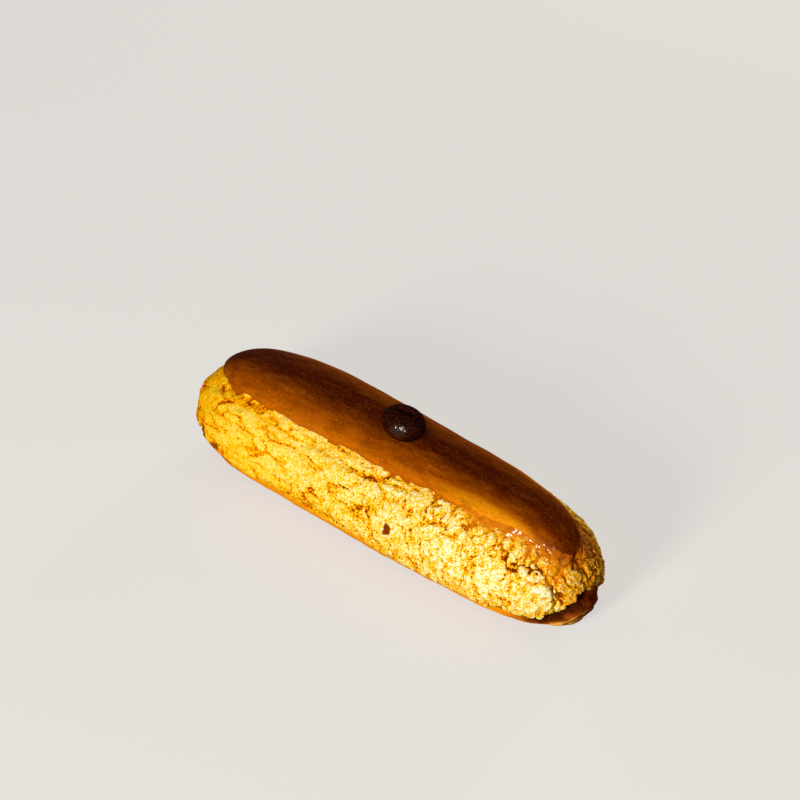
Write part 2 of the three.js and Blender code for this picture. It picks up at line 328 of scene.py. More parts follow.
# %% Icing outline
ICING_FAR = -62
ICING_NEAR = 66.5
ICING_HALF_WIDTH = 11.5
ICING_TAPER = -2.5
ICING_FAR_BLUNTNESS = 3.8
ICING_NEAR_BLUNTNESS = 5
ICING_WAVE, ICING_WAVES = 0.2, (0.21, 0.47)  # height of its edge's waves, and radians in a millimetre
ICING_QUICK_WAVE = 0.7


def icing_reach(x, y, wider=0, longer=0):
    """Under 1 inside the icing's outline, 1 on it and more outside; the outline can be let out."""
    far, near = ICING_FAR - longer, ICING_NEAR + longer
    along = (2 * x - far - near) / (near - far)
    slow, quick = ICING_WAVES
    wave = np.sin(slow * x + np.sign(y)) + ICING_QUICK_WAVE * np.sin(quick * x + 2 * np.sign(y))
    half_width = ICING_HALF_WIDTH + ICING_TAPER * along + ICING_WAVE * wave + wider
    bluntness = np.where(along < 0, ICING_FAR_BLUNTNESS, ICING_NEAR_BLUNTNESS)
    return (y / half_width) ** 2 + np.abs(along) ** bluntness


print("icing covers", round(ICING_NEAR - ICING_FAR, 1), "mm of the bun's", LENGTH)

# %% [markdown]
# ## The crust's relief
# The biscuit crust is a skin of crumbs. As the bun swelled it tore into plates: long ones along the
# far half and upright crags at the near end, with finer cracks inside them. Crumbs fell out and left
# pits. A shader could fake this with bump, but then the outline would stay smooth and the exported
# mesh would be plain, so each part of the relief is a height in millimetres that is added to the
# form, and only what is finer than a third of a millimetre is left to the finish. A tear's edge is
# sharper than the mesh is fine, so the mesh stores each point's distance from it, and the finish
# draws the edge where that distance passes 0.

# %% Cracks and pits
BEND_SIZE, BEND_REACH = 2.2, 0.7  # how coarsely and how far a crack strays
KINK_SIZE, KINK_REACH = 0.8, 0.3
FRAY_SIZE = 0.7  # how coarsely a tear's edge is frayed
TEAR_RANGE = 0.6  # a tear's measure stops changing this far from its edge
SHUT = -0.5  # half width of a tear that never opened
PIT_SPACING, PIT_OFFSET = 2.2, 7.3
PIT_RADIUS = (0.18, 0.48)
COARSE_FROM, COARSE_FULL = -0.95, 0.55
GROOVE_FLOOR = 0.2  # share of a groove's half width that lies at its full depth


def warp(points):
    """A crooked shift of the points, so that cracks don't run straight."""
    bend = [soft_noise(points / BEND_SIZE, salt) for salt in (11, 12, 13)]
    kink = [soft_noise(points / KINK_SIZE, salt) for salt in (14, 15, 16)]
    return BEND_REACH * np.stack(bend, axis=-1) + KINK_REACH * np.stack(kink, axis=-1)


def patchy(points, size, low, high, salt):
    """1 in patches of about this size, where noise is above high, and 0 where it is below low."""
    return smoothstep(low, high, soft_noise(points / size, salt))


def groove(border, half_width):
    """1 on a border, falling to 0 at half a width from it."""
    return 1 - smoothstep(GROOVE_FLOOR, 1, border / half_width)


def opening(border, half_width):
    """How deep inside a tear each point lies, in millimetres, and below 0 outside it."""
    return np.clip(half_width - border, -TEAR_RANGE, TEAR_RANGE)


def pits(points, share):
    """How deep inside a pit each point lies, in millimetres, when a share of the cells have one."""
    _, away, lot = nearest_cell(points / PIT_SPACING + PIT_OFFSET)
    radius = np.where(lot < share, lerp(*PIT_RADIUS, lot / share), -1)
    return np.clip(radius - away * PIT_SPACING, -TEAR_RANGE, TEAR_RANGE)


def coarseness(s):
    """How coarse the crust is at a station: 0 at the far tip, 1 over the near third."""
    return smoothstep(COARSE_FROM, COARSE_FULL, s)


print("pits are up to", 2 * PIT_RADIUS[1], "mm wide")

# %% Long plates
FAR_PLATE = np.array([19, 4.4, 4.4])  # length, depth and height of the plates along the bun
FAR_FLAKE = np.array([8, 2.3, 2.3])  # thinner flakes in them
FAR_BENT = np.array([1, 0.4, 0.4])  # how much their cracks stray, along and across
FAR_GAPING = (np.array([3.5, 2, 2]), 0.0, 0.6)  # size, low and high of the patches where borders gape,
FAR_CREASED = (np.array([7, 3, 3]), -0.5, 0.1)  # where they only crease,
FAR_FLAKED = (np.array([4, 2, 2]), -0.1, 0.4)  # and where plates flake
FAR_STRAIN = 0.05  # how much more they gape beside the icing
FAR_TIP_GAPE = 0.75  # share of the gaping that is left at the far tip
FAR_LINE = (0.4, 0.5)  # half width of the lines between them, at the far tip and towards the near end
FLAKE_LINE, FLAKE_SHARE = 0.35, 0.7
FAR_TEAR, FLAKE_TEAR, FAR_FRAY = 0.24, 0.18, 0.16  # half widths of the tears, and of their fraying
FAR_STEP, FAR_SLOPE, FAR_SLOPE_WIDTH, FAR_CREASE = 0.4, 0.3, 1.6, 0.2


def far_crust(points, shift, strain, coarse):
    """Depth, browned valleys, open tears and own numbers of the long plates."""
    drawn_out = points + shift * FAR_BENT
    border, lot = plate_border(drawn_out, FAR_PLATE)
    flake, _ = plate_border(drawn_out, FAR_FLAKE)
    gape = np.minimum(1, patchy(points, *FAR_GAPING, salt=21) + FAR_STRAIN * strain)
    gape = gape * lerp(FAR_TIP_GAPE, 1, coarse)
    creased = patchy(points, *FAR_CREASED, salt=22)
    flaked = patchy(points, *FAR_FLAKED, salt=23)
    line = groove(border, lerp(*FAR_LINE, coarse))
    valley = np.maximum(creased * line, FLAKE_SHARE * flaked * groove(flake, FLAKE_LINE))
    frayed = FAR_FRAY * soft_noise(points / FRAY_SIZE, salt=27)
    torn = opening(border, lerp(SHUT, FAR_TEAR, gape) + frayed)
    torn = np.maximum(torn, opening(flake, lerp(SHUT, FLAKE_TEAR, gape * flaked) + frayed))
    slope = FAR_SLOPE * groove(border, FAR_SLOPE_WIDTH)
    depth = FAR_STEP * (0.5 - lot) + slope + FAR_CREASE * valley
    return depth, valley, torn, lot


print("long plates measure about", FAR_PLATE, "mm")

# %% Upright crags
NEAR_PLATE = np.array([7.5, 9, 13])
NEAR_CRAG = np.array([2.7, 3.2, 4.4])  # what those plates split into
NEAR_BENT = 1.2
NEAR_GAPING = (3.0, 0.1, 0.6)  # size, low and high of the patches where borders gape,
NEAR_SPLIT = (4.0, -1.0, -0.2)  # and where plates split
NEAR_STRAIN, END_GAPE = 0.1, 0.2  # how much more they gape beside the icing and on the end
NEAR_LINE = (0.4, 0.6)  # half width of the lines between plates, shut and gaping
CRAG_LINE, CRAG_SHARE = 0.38, 0.8
NEAR_TEAR, CRAG_TEAR, NEAR_FRAY = 0.28, 0.18, 0.2
NEAR_STEP, CRAG_STEP = 0.25, 0.3
NEAR_SLOPE, NEAR_SLOPE_WIDTH, NEAR_CREASE = 0.12, 1.0, 0.4


def near_crust(points, shift, strain, end):
    """Depth, browned valleys, open tears and own numbers of the crags."""
    crooked = points + NEAR_BENT * shift
    border, lot = plate_border(crooked, NEAR_PLATE)
    crag, crag_lot = plate_border(crooked, NEAR_CRAG)
    gape = patchy(points, *NEAR_GAPING, salt=24)
    gape = np.minimum(1, gape + NEAR_STRAIN * strain + END_GAPE * end)
    split = patchy(points, *NEAR_SPLIT, salt=25)
    line = groove(border, lerp(*NEAR_LINE, gape))
    valley = np.maximum(line, CRAG_SHARE * split * groove(crag, CRAG_LINE))
    frayed = NEAR_FRAY * soft_noise(points / FRAY_SIZE, salt=27)
    torn = opening(border, lerp(SHUT, NEAR_TEAR, gape) + frayed)
    torn = np.maximum(torn, opening(crag, lerp(SHUT, CRAG_TEAR, gape * split) + frayed))
    steps = NEAR_STEP * (0.5 - lot) + CRAG_STEP * (0.5 - crag_lot)
    depth = steps + NEAR_SLOPE * groove(border, NEAR_SLOPE_WIDTH) + NEAR_CREASE * valley
    return depth, valley, torn, crag_lot


print("crags measure about", NEAR_CRAG, "mm")

# %% Crumb and the whole relief
CRUST_RISE = 0.3
TEAR_DEPTH, TEAR_WALL = 0.6, (-0.1, 0.2)  # a tear's depth, and the distances over which it is reached
GRAIN_SIZE, GRAIN_HEIGHT = 0.8, 0.12
CRUMB_SIZE, CRUMB_HEIGHT = 0.5, 0.08
FAR_ROUGHNESS, NEAR_ROUGHNESS = 0.4, 1.25
LUMP_SIZE, FAR_LUMP, NEAR_LUMP = 3.4, 0.42, 0.05
CRAGS_FROM, CRAGS_FULL = 0.1, 0.6  # stations between which the crags take over from the plates
NARROWED = 0.25  # how much the tears of one kind close where the other kind takes over
END_FROM, END_FULL, END_CRAGGINESS = 0.78, 0.94, 1.7
STRAIN_FULL, STRAIN_TO = 1, 1.7  # the icing's reach over which it strains the crust
PIT_SHARE, END_PIT_SHARE = 0.2, 0.45
FAR_CLOSED_GIRTH, NEAR_CLOSED_GIRTH = 0.95, 0.35  # cracks close towards a tip from this girth on
CLOSING = 0.3


def crust_crumb(points, coarse):
    """Height of the grains of crumb, which lie smoother at the far end."""
    grain = GRAIN_HEIGHT * soft_noise(points / GRAIN_SIZE, salt=31)
    fine = CRUMB_HEIGHT * soft_noise(points / CRUMB_SIZE, salt=33)
    return lerp(FAR_ROUGHNESS, NEAR_ROUGHNESS, coarse) * (grain + fine)


def crust_relief(points, s):
    """Height of the crust over the smooth form, its crumb, valleys, tears and each plate's tint."""
    near = smoothstep(CRAGS_FROM, CRAGS_FULL, s)
    end = smoothstep(END_FROM, END_FULL, s)
    coarse = coarseness(s)
    shift = warp(points)
    strain = 1 - smoothstep(STRAIN_FULL, STRAIN_TO, icing_reach(points[..., 0], points[..., 1]))
    far_depth, far_valley, far_torn, far_lot = far_crust(points, shift, strain, coarse)
    near_depth, near_valley, near_torn, near_lot = near_crust(points, shift, strain, end)
    torn = np.maximum(far_torn - NARROWED * near, near_torn - NARROWED * (1 - near))
    torn = np.maximum(torn, pits(points + shift, lerp(PIT_SHARE, END_PIT_SHARE, end)))
    open_share = smoothstep(0, np.where(s < 0, FAR_CLOSED_GIRTH, NEAR_CLOSED_GIRTH), girth(s))
    craggy = lerp(1, END_CRAGGINESS, end)
    depth = craggy * lerp(far_depth, near_depth, near) + TEAR_DEPTH * smoothstep(*TEAR_WALL, torn)
    crumb = craggy * crust_crumb(points, coarse)
    lump = lerp(FAR_LUMP, NEAR_LUMP, coarse) * soft_noise(points / LUMP_SIZE, salt=32)
    height = CRUST_RISE + lump + crumb - open_share * depth
    valley = lerp(far_valley, near_valley, near) * open_share
    torn = torn - CLOSING * (1 - open_share)
    return height, crumb, valley, torn, lerp(far_lot, near_lot, near) - 0.5


probe = np.random.default_rng(2).uniform(-20, 20, (4000, 3))
heights = crust_relief(probe, probe[:, 0] / 20)[0]
print("crust relief goes from", heights.min().round(1), "to", heights.max().round(1), "mm")

# %% [markdown]
# ## The crust's lower edge
# The crust doesn't reach the base. Along the sides it ends just above it, and at both tips it
# lifted off and overhangs the bare layered bun like the brim of a hat. Bits of it broke away at the
# far end. It could be a second skin laid over the bun, but then the two would meet in a hidden seam,
# so one skin changes from crust to bare bun at a ragged height, and the bare bun draws back right
# under the edge. At the back of the near end the edge curls in and the gap is narrower.

# %% Lip
LIP_SIDE, LIP_FAR_RISE, LIP_NEAR_FALL = 7.3, 1.2, 1.6
FAR_RISE_SPAN, NEAR_FALL_SPAN = (30, 50), (10, 34)  # millimetres from the middle over which it changes
BROKEN_AWAY = ((-56.0, 2.2), (-47.4, 1.7), (-43.4, 1.1))  # where and how widely the far edge broke off
BROKEN_RISE = 3.2
LIP_LOW, LIP_NEAR, LIP_SPREAD_NEAR = 1.2, 11.5, 1.1
LIP_RAGGED, SIDE_RAGGED, TIP_RAGGED = 0.9, 0.35, 1.3
RAG_SIZE, FINE_RAG_SIZE, FINE_RAG = 3.5, 1.2, 0.5
LIP_BLEND = 0.25
LIP_ROUNDING, LIP_ROUNDED = 1.2, 2.0  # how far the edge curls in, from this height above it
BACK_SPAN = (-3, 5)  # across the eclair, where its near end's back half begins
OVERHANG_TIP, BACK_CLOSED = 2.2, 0.6
GAP_FROM, GAP_TO = 0.68, 0.84  # shares of the edge's height between which the bare bun draws back
FOOT_RISE = 0.15
FOOT_GRAIN_SIZE, FOOT_GRAIN = 1.5, 0.06
FOOT_WAVE_SIZE, FOOT_WAVE = 4, 0.12
FOOT_LAYER_SIZE, FOOT_LAYER = np.array([6, 6, 0.9]), 0.6
FOOT_FOLD_SIZE, FOOT_FOLD = np.array([2.4, 2.4, 5]), 0.5


def lip_height(points, s):
    """Height of the crust's lower edge."""
    x = points[..., 0]
    tip = 1 - girth(s)
    side = LIP_SIDE + LIP_FAR_RISE * smoothstep(*FAR_RISE_SPAN, -x)
    side = side - LIP_NEAR_FALL * smoothstep(*NEAR_FALL_SPAN, x)
    for place, half_width in BROKEN_AWAY:
        side = side + BROKEN_RISE * np.exp(-(((x - place) / half_width) ** 2))
    near_tip = lerp(LIP_LOW, LIP_NEAR, np.minimum(1, tip * LIP_SPREAD_NEAR))
    lip = np.where(s < 0, side, np.maximum(side, near_tip))
    ragged = soft_noise(points / RAG_SIZE, salt=41)
    ragged = ragged + FINE_RAG * soft_noise(points / FINE_RAG_SIZE, salt=42)
    tip_share = np.where(s < 0, tip, np.sqrt(tip))
    return lip + LIP_RAGGED * ragged * lerp(SIDE_RAGGED, TIP_RAGGED, tip_share)


def near_back(points, s):
    """1 on the back half of the near end, 0 at its front and at the far end."""
    return smoothstep(*BACK_SPAN, points[..., 1]) * (s > 0)


def bare_height(points, s, lip):
    """Height of the bare bun below the crust's edge, over the smooth form."""
    tip = 1 - girth(s)
    overhang = OVERHANG_TIP * np.sqrt(tip) * (1 - BACK_CLOSED * near_back(points, s))
    tucked = -overhang * smoothstep(GAP_FROM, GAP_TO, points[..., 2] / lip)
    grain = FOOT_GRAIN * soft_noise(points / FOOT_GRAIN_SIZE, salt=43)
    waves = FOOT_WAVE * soft_noise(points / FOOT_WAVE_SIZE, salt=44)
    layers = FOOT_LAYER * np.sqrt(tip) * soft_noise(points / FOOT_LAYER_SIZE, salt=45)
    folds = FOOT_FOLD * tip * soft_noise(points / FOOT_FOLD_SIZE, salt=46)
    return FOOT_RISE + tucked + grain + waves + layers + folds


print("crust edge lies", LIP_SIDE, "mm up at the sides and", LIP_NEAR, "mm at the near tip")

# %% [markdown]
# ## The chip
# A flake was knocked out of the front side and left a small four-sided hole with a brown floor, which
# is painted darker as shade in the hole. A boolean cut would leave long thin faces, so four straight
# edges limit a dip in the skin instead, as they do in the solid. The crust right around it stayed
# whole, so no crack runs into it.

# %% Chip
CHIP_AT = (20.8, 14.3)  # along the eclair, and up
CHIP_WIDTH, CHIP_HEIGHT, CHIP_DEPTH = 2.8, 3.3, 1.5
CHIP_CORNERS = ((-0.56, -0.65), (0.49, -0.3), (0.49, 0.22), (-0.35, 0.48))  # shares of its size
CHIP_EDGE = 0.2
CHIP_RIM = 0.7  # how far around it the crust stayed whole


def inside_chip(points):
    """How deep inside the chip's outline each point lies, in millimetres, and below 0 outside it."""
    place = np.stack([points[..., 0] - CHIP_AT[0], points[..., 2] - CHIP_AT[1]], axis=-1)
    corners = np.array(CHIP_CORNERS) * (CHIP_WIDTH, CHIP_HEIGHT)
    inside = np.where(points[..., 1] < 0, 1.0, -1.0)
    for start, end in zip(corners, np.roll(corners, -1, axis=0)):
        edge = (end - start) / np.linalg.norm(end - start)
        depth = edge[0] * (place[..., 1] - start[1]) - edge[1] * (place[..., 0] - start[0])
        inside = np.minimum(inside, depth)
    return np.maximum(-1, inside)


print("chip is", CHIP_WIDTH, "by", CHIP_HEIGHT, "mm")

# %% [markdown]
# ## Meshes from rings
# Bun, icing and bean are all closed skins through rings of points, drawn together to a point at
# each end. One helper makes such a mesh. It also stores what the finish needs to know at each
# point, such as how hollow it is, as named attributes that the shader reads back.

# %% Mesh helper
def ring_mesh(name, rings, measures):
    """A closed mesh in metres through rings of points, with a measure per point for the finish."""
    count, rows = rings.shape[:2]
    tips = rings[[0, -1]].mean(axis=1)
    points = np.concatenate([tips[:1], rings.reshape(-1, 3), tips[1:]]) * MM
    here = 1 + np.arange(count * rows).reshape(count, rows)
    beside = np.roll(here, -1, axis=1)
    quads = np.stack([here[:-1], here[1:], beside[1:], beside[:-1]], axis=-1).reshape(-1, 4)
    start = np.stack([np.zeros(rows, int), here[0], beside[0]], axis=-1)
    end = np.stack([np.full(rows, len(points) - 1), beside[-1], here[-1]], axis=-1)
    mesh = bpy.data.meshes.new(name)
    mesh.from_pydata(points, [], quads.tolist() + start.tolist() + end.tolist())
    mesh.shade_smooth()
    for title, values in measures.items():
        values = np.concatenate([[values[0].mean()], values.ravel(), [values[-1].mean()]])
        mesh.attributes.new(title, "FLOAT", "POINT").data.foreach_set("value", values.astype(np.float32))
    piece = bpy.data.objects.new(name, mesh)
    bpy.context.scene.collection.objects.link(piece)
    triangles = 2 * len(quads) + 2 * rows
    print(name, "has", triangles, "triangles")
    return piece


print("meshes are made in millimetres and stored in metres, at", MM, "to one")

# %% [markdown]
# ## Where icing ran over the crust
# At the near end warm icing ran past its edge: as a thin film over the crags, which filled the dips
# and left the crests bare, and as a glaze that soaked into the end. A fluid simulation could pour it,
# but the film only has to follow the relief, so its height is worked out from the crust's height and
# from how far it is past the icing's edge. The glaze has no thickness and only wets the crust.
# On the end's back, turned from the lamp, the glaze is also painted shade.

# %% Film and glaze
FILM_FROM, FILM_FULL = 22, 48  # where along the eclair the film begins and is widest
FILM_FRONT, FILM_BACK, FILM_TIP = 4.5, 2.5, 1.5  # how far it runs past the icing's edge
FILM_LEVEL, FILM_FALL, FILM_DROP = 0.45, 1.5, 2.0
FILM_CLING = 0.7  # how much of the crust's relief still shows through the film
FILM_DRY = 2.0  # how deep below the crust it stays where no icing ran
FILM_RAG_SIZE, FILM_RAG = 2.5, 0.3
FILM_FINE_RAG_SIZE, FILM_FINE_RAG = 0.9, 0.18
GLAZE_FROM, GLAZE_FULL = 61, 69.5
# Its slant towards the back also paints shade on the side of the end turned from the lamp.
GLAZE_SLANT, GLAZE_SLANT_TO, GLAZE_RISE = 0.7, 3, 0.4  # it begins sooner towards the back and the top
GLAZE_RAG_SIZE, GLAZE_RAG = 3, 2.5
GLAZE_FINE_RAG_SIZE, GLAZE_FINE_RAG = 1.1, 1.2


def film_share(x):
    """0 where no icing ran over, 1 where it ran furthest."""
    return smoothstep(FILM_FROM, FILM_FULL, x)


def film_height(points, crust):
    """Height of the thin icing that ran over the crags, above the smooth form."""
    x, y = points[..., 0], points[..., 1]
    outward = np.maximum(0, np.sqrt(icing_reach(x, y)) - 1) * ICING_HALF_WIDTH
    outward = np.maximum(outward, FILM_DROP * (x - ICING_NEAR))
    reach = lerp(FILM_BACK, FILM_FRONT, y < 0)
    ragged = FILM_RAG * soft_noise(points / FILM_RAG_SIZE, salt=51)
    ragged = ragged + FILM_FINE_RAG * soft_noise(points / FILM_FINE_RAG_SIZE, salt=52)
    level = FILM_LEVEL + ragged - FILM_FALL * outward / reach
    return FILM_CLING * crust + level - FILM_DRY * (1 - film_share(x))


def tip_glaze_and_shade(points):
    """1 where icing wetted the crust of the near end, 0 on dry crust; over the end's back it is also
    painted shade.
    """
    x, y, z = np.moveaxis(points, -1, 0)
    slant = GLAZE_SLANT * np.minimum(y, GLAZE_SLANT_TO) + GLAZE_RISE * (z - CROWN / 2)
    ragged = GLAZE_RAG * soft_noise(points / GLAZE_RAG_SIZE, salt=53)
    ragged = ragged + GLAZE_FINE_RAG * soft_noise(points / GLAZE_FINE_RAG_SIZE, salt=54)
    return smoothstep(GLAZE_FROM, GLAZE_FULL, x + slant + ragged)


print("film runs up to", FILM_FRONT, "mm past the icing's edge")

# %% [markdown]
# ## The bun with its crust
# The bun could be subdivided until it is fine everywhere, but most points would be wasted. Its rows
# of points lie a third of a millimetre apart where the crust shows, and further apart where it rests
# on the base or under the icing. Under the icing the relief fades out, so that no crumb pokes
# through. How pale the crust is gets stored with the points too: the near half is paler and the far
# tip browner, and low down the crust is darker, as painted shade where its side turns under.

# %% How the crust baked
PALE = 0.05
NEAR_PALE, NEAR_PALE_SPAN = 0.26, (-0.2, 0.6)
BACK_SHARE, BACK_PALE_SPAN = 0.45, (-4, 10)  # the near half's back is less pale
FAR_BROWNED, FAR_BROWNED_SPAN, FAR_CAP_SPAN = 0.14, (0.4, 1), (0.1, 0.6)
# Low down the crust is darkened as painted shade, where its side turns under.
LOW_SPAN, FAR_LOW_SHADE, NEAR_LOW_SHADE = (4, 16), 0.16, 0.27
HIGH_SPAN, HIGH_BROWNED = (14, 22), 0.07
PLATE_TINT = 0.08


def low_share(points):
    """1 down at the base, 0 from the middle of the side upwards."""
    return 1 - smoothstep(*LOW_SPAN, points[..., 2])


def paleness_and_low_shade(points, s, tint):
    """How much paler, or below 0 browner, than golden each place of the crust is; the darkening low down
    is painted shade.
    """
    back = smoothstep(*BACK_PALE_SPAN, points[..., 1])
    near = smoothstep(*NEAR_PALE_SPAN, s) * (1 - BACK_SHARE * back)
    far = smoothstep(*FAR_BROWNED_SPAN, -s) + smoothstep(*FAR_CAP_SPAN, 1 - girth(s)) * (s < 0)
    low = lerp(FAR_LOW_SHADE, NEAR_LOW_SHADE, near) * low_share(points)
    high = HIGH_BROWNED * near * smoothstep(*HIGH_SPAN, points[..., 2])
    return PALE + NEAR_PALE * near - FAR_BROWNED * far - low - high + PLATE_TINT * tint


print("crust is", NEAR_PALE, "paler at the near end and up to", 2 * FAR_BROWNED, "browner at the far tip")

# %% Bun
BUN_STATIONS, BUN_ROWS = 490, 203
TOP_SHARE, BASE_SHARE = 0.3, 0.12  # how closely the hidden rows lie, against those that show
COVERED_FROM, COVERED_TO = 0.8, 0.97  # the icing's reach between which the relief fades in
FRONT_TURN, BACK_TURN = 0.25, 0.75  # the top lies between them
LOW_SMOOTHED, LOW_CLOSED = 0.45, 0.12  # low down, valleys are fainter and tears narrower
FILM_WETS = (-1.4, 0.1)  # the film's height over the crust at which it begins to wet it, and has
# The second span runs across the near tip, where the foot's front gives way to painted shade on its back.
TIP_SPAN, UNSHADED_FRONT_SPAN, FAR_FOOT_SPAN = (0.05, 0.3), (-6, 4), (0.4, 0.7)
LAYER_RAG_SIZE, LAYER_RAG = 1.6, 0.05


def bun_surface(s, turn):
    """Points of the baked bun, and the measures that its finish needs."""
    smooth = bun_point(s, turn)
    x, y, z = np.moveaxis(smooth, -1, 0)
    tip = 1 - girth(s)
    lip = lip_height(smooth, s)
    below = 1 - smoothstep(-LIP_BLEND, LIP_BLEND, z - lip)
    crust, crumb, valley, torn, tint = crust_relief(smooth, s)
    hole = inside_chip(smooth)
    knocked_out = smoothstep(-CHIP_EDGE, CHIP_EDGE, hole)
    around_chip = smoothstep(-CHIP_RIM, -CHIP_RIM / 2, hole)
    curl = (1 - smoothstep(0, LIP_ROUNDED, z - lip)) ** 2 * np.sqrt(tip) * near_back(smooth, s)
    height = lerp(crust - LIP_ROUNDING * curl, bare_height(smooth, s, lip), below)
    height = lerp(lerp(height, CRUST_RISE, around_chip), -CHIP_DEPTH, knocked_out)
    is_top = (turn > FRONT_TURN) & (turn < BACK_TURN)
    shows = np.where(is_top, smoothstep(COVERED_FROM, COVERED_TO, icing_reach(x, y)), 1) * (z > 0)
    points = smooth + bun_normal(s, turn) * (height * shows)[..., None]
    points[..., 2] = np.maximum(0, points[..., 2])
    is_low = low_share(smooth)
    film = smoothstep(*FILM_WETS, film_height(smooth, crust) - crust) * is_top
    layers = z / lip + LAYER_RAG * soft_noise(smooth / LAYER_RAG_SIZE, salt=47)
    measures = {
        "crumb": crumb,
        "valley": valley * (1 - below) * (1 - around_chip) * (1 - LOW_SMOOTHED * is_low),
        "torn": torn - below - around_chip - LOW_CLOSED * is_low,
        "bare": below,
        "chip": hole,
        "tip": smoothstep(*TIP_SPAN, tip) * (s > 0),
        # 1 on the near foot's front and 0 on its back, where it is painted shade
        "ridge": smoothstep(*UNSHADED_FRONT_SPAN, -y),
        "far": smoothstep(*FAR_FOOT_SPAN, -s),
        "foot": np.clip(layers, 0, 1),
        "coarse": coarseness(s),
        # this tone shift also carries the painted shade low on the sides
        "pale": paleness_and_low_shade(smooth, s, tint),
        "film": film * (1 - below),
        "glaze": tip_glaze_and_shade(smooth) * (1 - below),
    }
    return points, measures


def make_bun():
    """The bun's mesh, with its rows spread along the middle section's outline."""
    fine = np.linspace(0, 1, FINE_SAMPLES)
    section = bun_point(np.zeros_like(fine), fine)
    is_base = section[1:, 2] == 0
    is_covered = (section[1:, 2] > BELLY) & (icing_reach(0.0, section[1:, 1]) < COVERED_FROM)
    weight = np.where(is_base, BASE_SHARE, np.where(is_covered, TOP_SHARE, 1))
    turns = even_steps(BUN_ROWS, section, fine, weight)
    places = even_stations(BUN_STATIONS, lambda s: bun_point(s, np.full_like(s, FRONT_TURN)))
    s, turn = np.meshgrid(places, turns, indexing="ij")
    return ring_mesh("choux_crust", *bun_surface(s, turn))


bun = make_bun()

# %% [markdown]
# ## The icing
# Warm icing was poured along the top: it set to an even thickness with a soft rounded rim, and burst
# bubbles left a few small craters. It could be a copy of the crust's top pushed outwards, but then
# its edge would show the crumb below. Here it is a closed skin over the bun: its upper face is the
# thicker of the coat and the film, with a fillet between them, and where both run out it dives under
# the crust, so its edge follows every crumb.

# %% Icing heights
GAP = 0.3
ICING_THICKNESS = 2.2
ICING_FAR_EXTRA, ICING_EXTRA_FROM = 0.9, -43
ICING_EDGE_POWER = 3
GAP_CLOSES = 0.9  # the icing's reach from which it comes down onto the bun
EDGE_DIVE, DIVE_REACH = 0.6, 1.12  # how far its edge dives under the crust, and by which reach
MARGIN = 0.7
FILLET = 1.0  # how widely the coat runs out into the film
BUBBLES = ((27.3, -5.5, 0.8), (30.9, -1.4, 0.6), (-6.2, 2.6, 0.6), (-38, -5, 0.5), (44, -3, 0.5))
BUBBLE_DEPTH, BUBBLE_RIM, BUBBLE_RIM_WIDTH, BUBBLE_FLOOR = 0.16, 0.6, 0.35, 0.6
HALVINGS = 30  # halving a span this often leaves nothing of it


def soft_maximum(first, second, width):
    """The larger of two heights, with a fillet where they meet."""
    share = np.maximum(0, 1 - np.abs(first - second) / width)
    return np.maximum(first, second) + width / 4 * share**2


def seat(x, y):
    """Station and turn of the smooth bun's upper face under each (x, y)."""
    s = 2 * x / LENGTH
    low, high = np.full_like(x, FRONT_TURN), np.full_like(x, BACK_TURN)
    for _ in range(HALVINGS):
        half = (low + high) / 2
        is_front = bun_point(s, half)[..., 1] < y
        low = np.where(is_front, half, low)
        high = np.where(is_front, high, half)
    return s, low


def coat_height(x, y):
    """Height of the poured coat over the smooth bun; it dives below it outside its outline."""
    reach = icing_reach(x, y)
    full = ICING_THICKNESS + ICING_FAR_EXTRA * smoothstep(-ICING_EXTRA_FROM, -ICING_FAR, -x)
    inside = full * np.sqrt(np.maximum(0, 1 - reach**ICING_EDGE_POWER))
    height = GAP * (1 - smoothstep(GAP_CLOSES, 1, reach)) + inside
    height = height - EDGE_DIVE * smoothstep(1, DIVE_REACH, reach)
    for at_x, at_y, radius in BUBBLES:
        far = np.hypot(x - at_x, y - at_y) / radius
        rim = BUBBLE_RIM * np.exp(-(((far - 1) / BUBBLE_RIM_WIDTH) ** 2))
        height = height + BUBBLE_DEPTH * (rim - np.exp(-((far / BUBBLE_FLOOR) ** 2)))
    return height


print("icing is", ICING_THICKNESS, "mm thick")

# %% Icing
ICING_STATIONS, ICING_TOP_ROWS, ICING_SEAT_ROWS = 400, 92, 20
ICING_RIM = 0.03  # share of the width over which the upper face closes onto the lower one
SEAT_HEIGHT = 0.06  # height of the lower face over the smooth bun
SEAT_BELOW = 0.25  # how far it stays below the crust and the upper face
FILM_OVER = (-0.1, 0.2)  # the film's height over the coat at which it begins to show, and hides it


def icing_edge(x, sign):
    """Half width of the icing piece at x, film and margin included, found by halving."""
    inside, outside = np.zeros_like(x), np.full_like(x, WIDTH / 2)
    wider = MARGIN + film_share(x) * (FILM_FRONT if sign < 0 else FILM_BACK)
    for _ in range(HALVINGS):
        half = (inside + outside) / 2
        is_in = icing_reach(x, sign * half, wider, FILM_TIP) < 1
        inside = np.where(is_in, half, inside)
        outside = np.where(is_in, outside, half)
    return sign * inside


def icing_surface(x, share, is_top):
    """Points of the icing at x and at a share of the way from its front to its back edge."""
    front, back = icing_edge(x, -1), icing_edge(x, 1)
    y = lerp(front, back, (1 - np.cos(np.pi * share)) / 2)
    s, turn = seat(x, y)
    smooth = bun_point(s, turn)
    crust = crust_relief(smooth, s)[0] * smoothstep(COVERED_FROM, COVERED_TO, icing_reach(x, y))
    film = np.maximum(-EDGE_DIVE, film_height(smooth, crust))
    coat = coat_height(x, y)
    top = soft_maximum(coat, film, FILLET)
    rim = smoothstep(0, ICING_RIM, np.minimum(share, 1 - share))
    under = np.minimum(SEAT_HEIGHT, np.minimum(crust, top) - SEAT_BELOW)
    height = np.where(is_top, lerp(under, top, rim), under)
    points = smooth + bun_normal(s, turn) * height[..., None]
    measures = {
        "thickness": np.maximum(0, height - crust),
        "film": smoothstep(*FILM_OVER, film - coat),
        "runny": film_share(x),
        "middle": 1 - np.sqrt(np.clip(icing_reach(x, y) - icing_reach(x, 0 * y), 0, 1)),
    }
    return points, measures


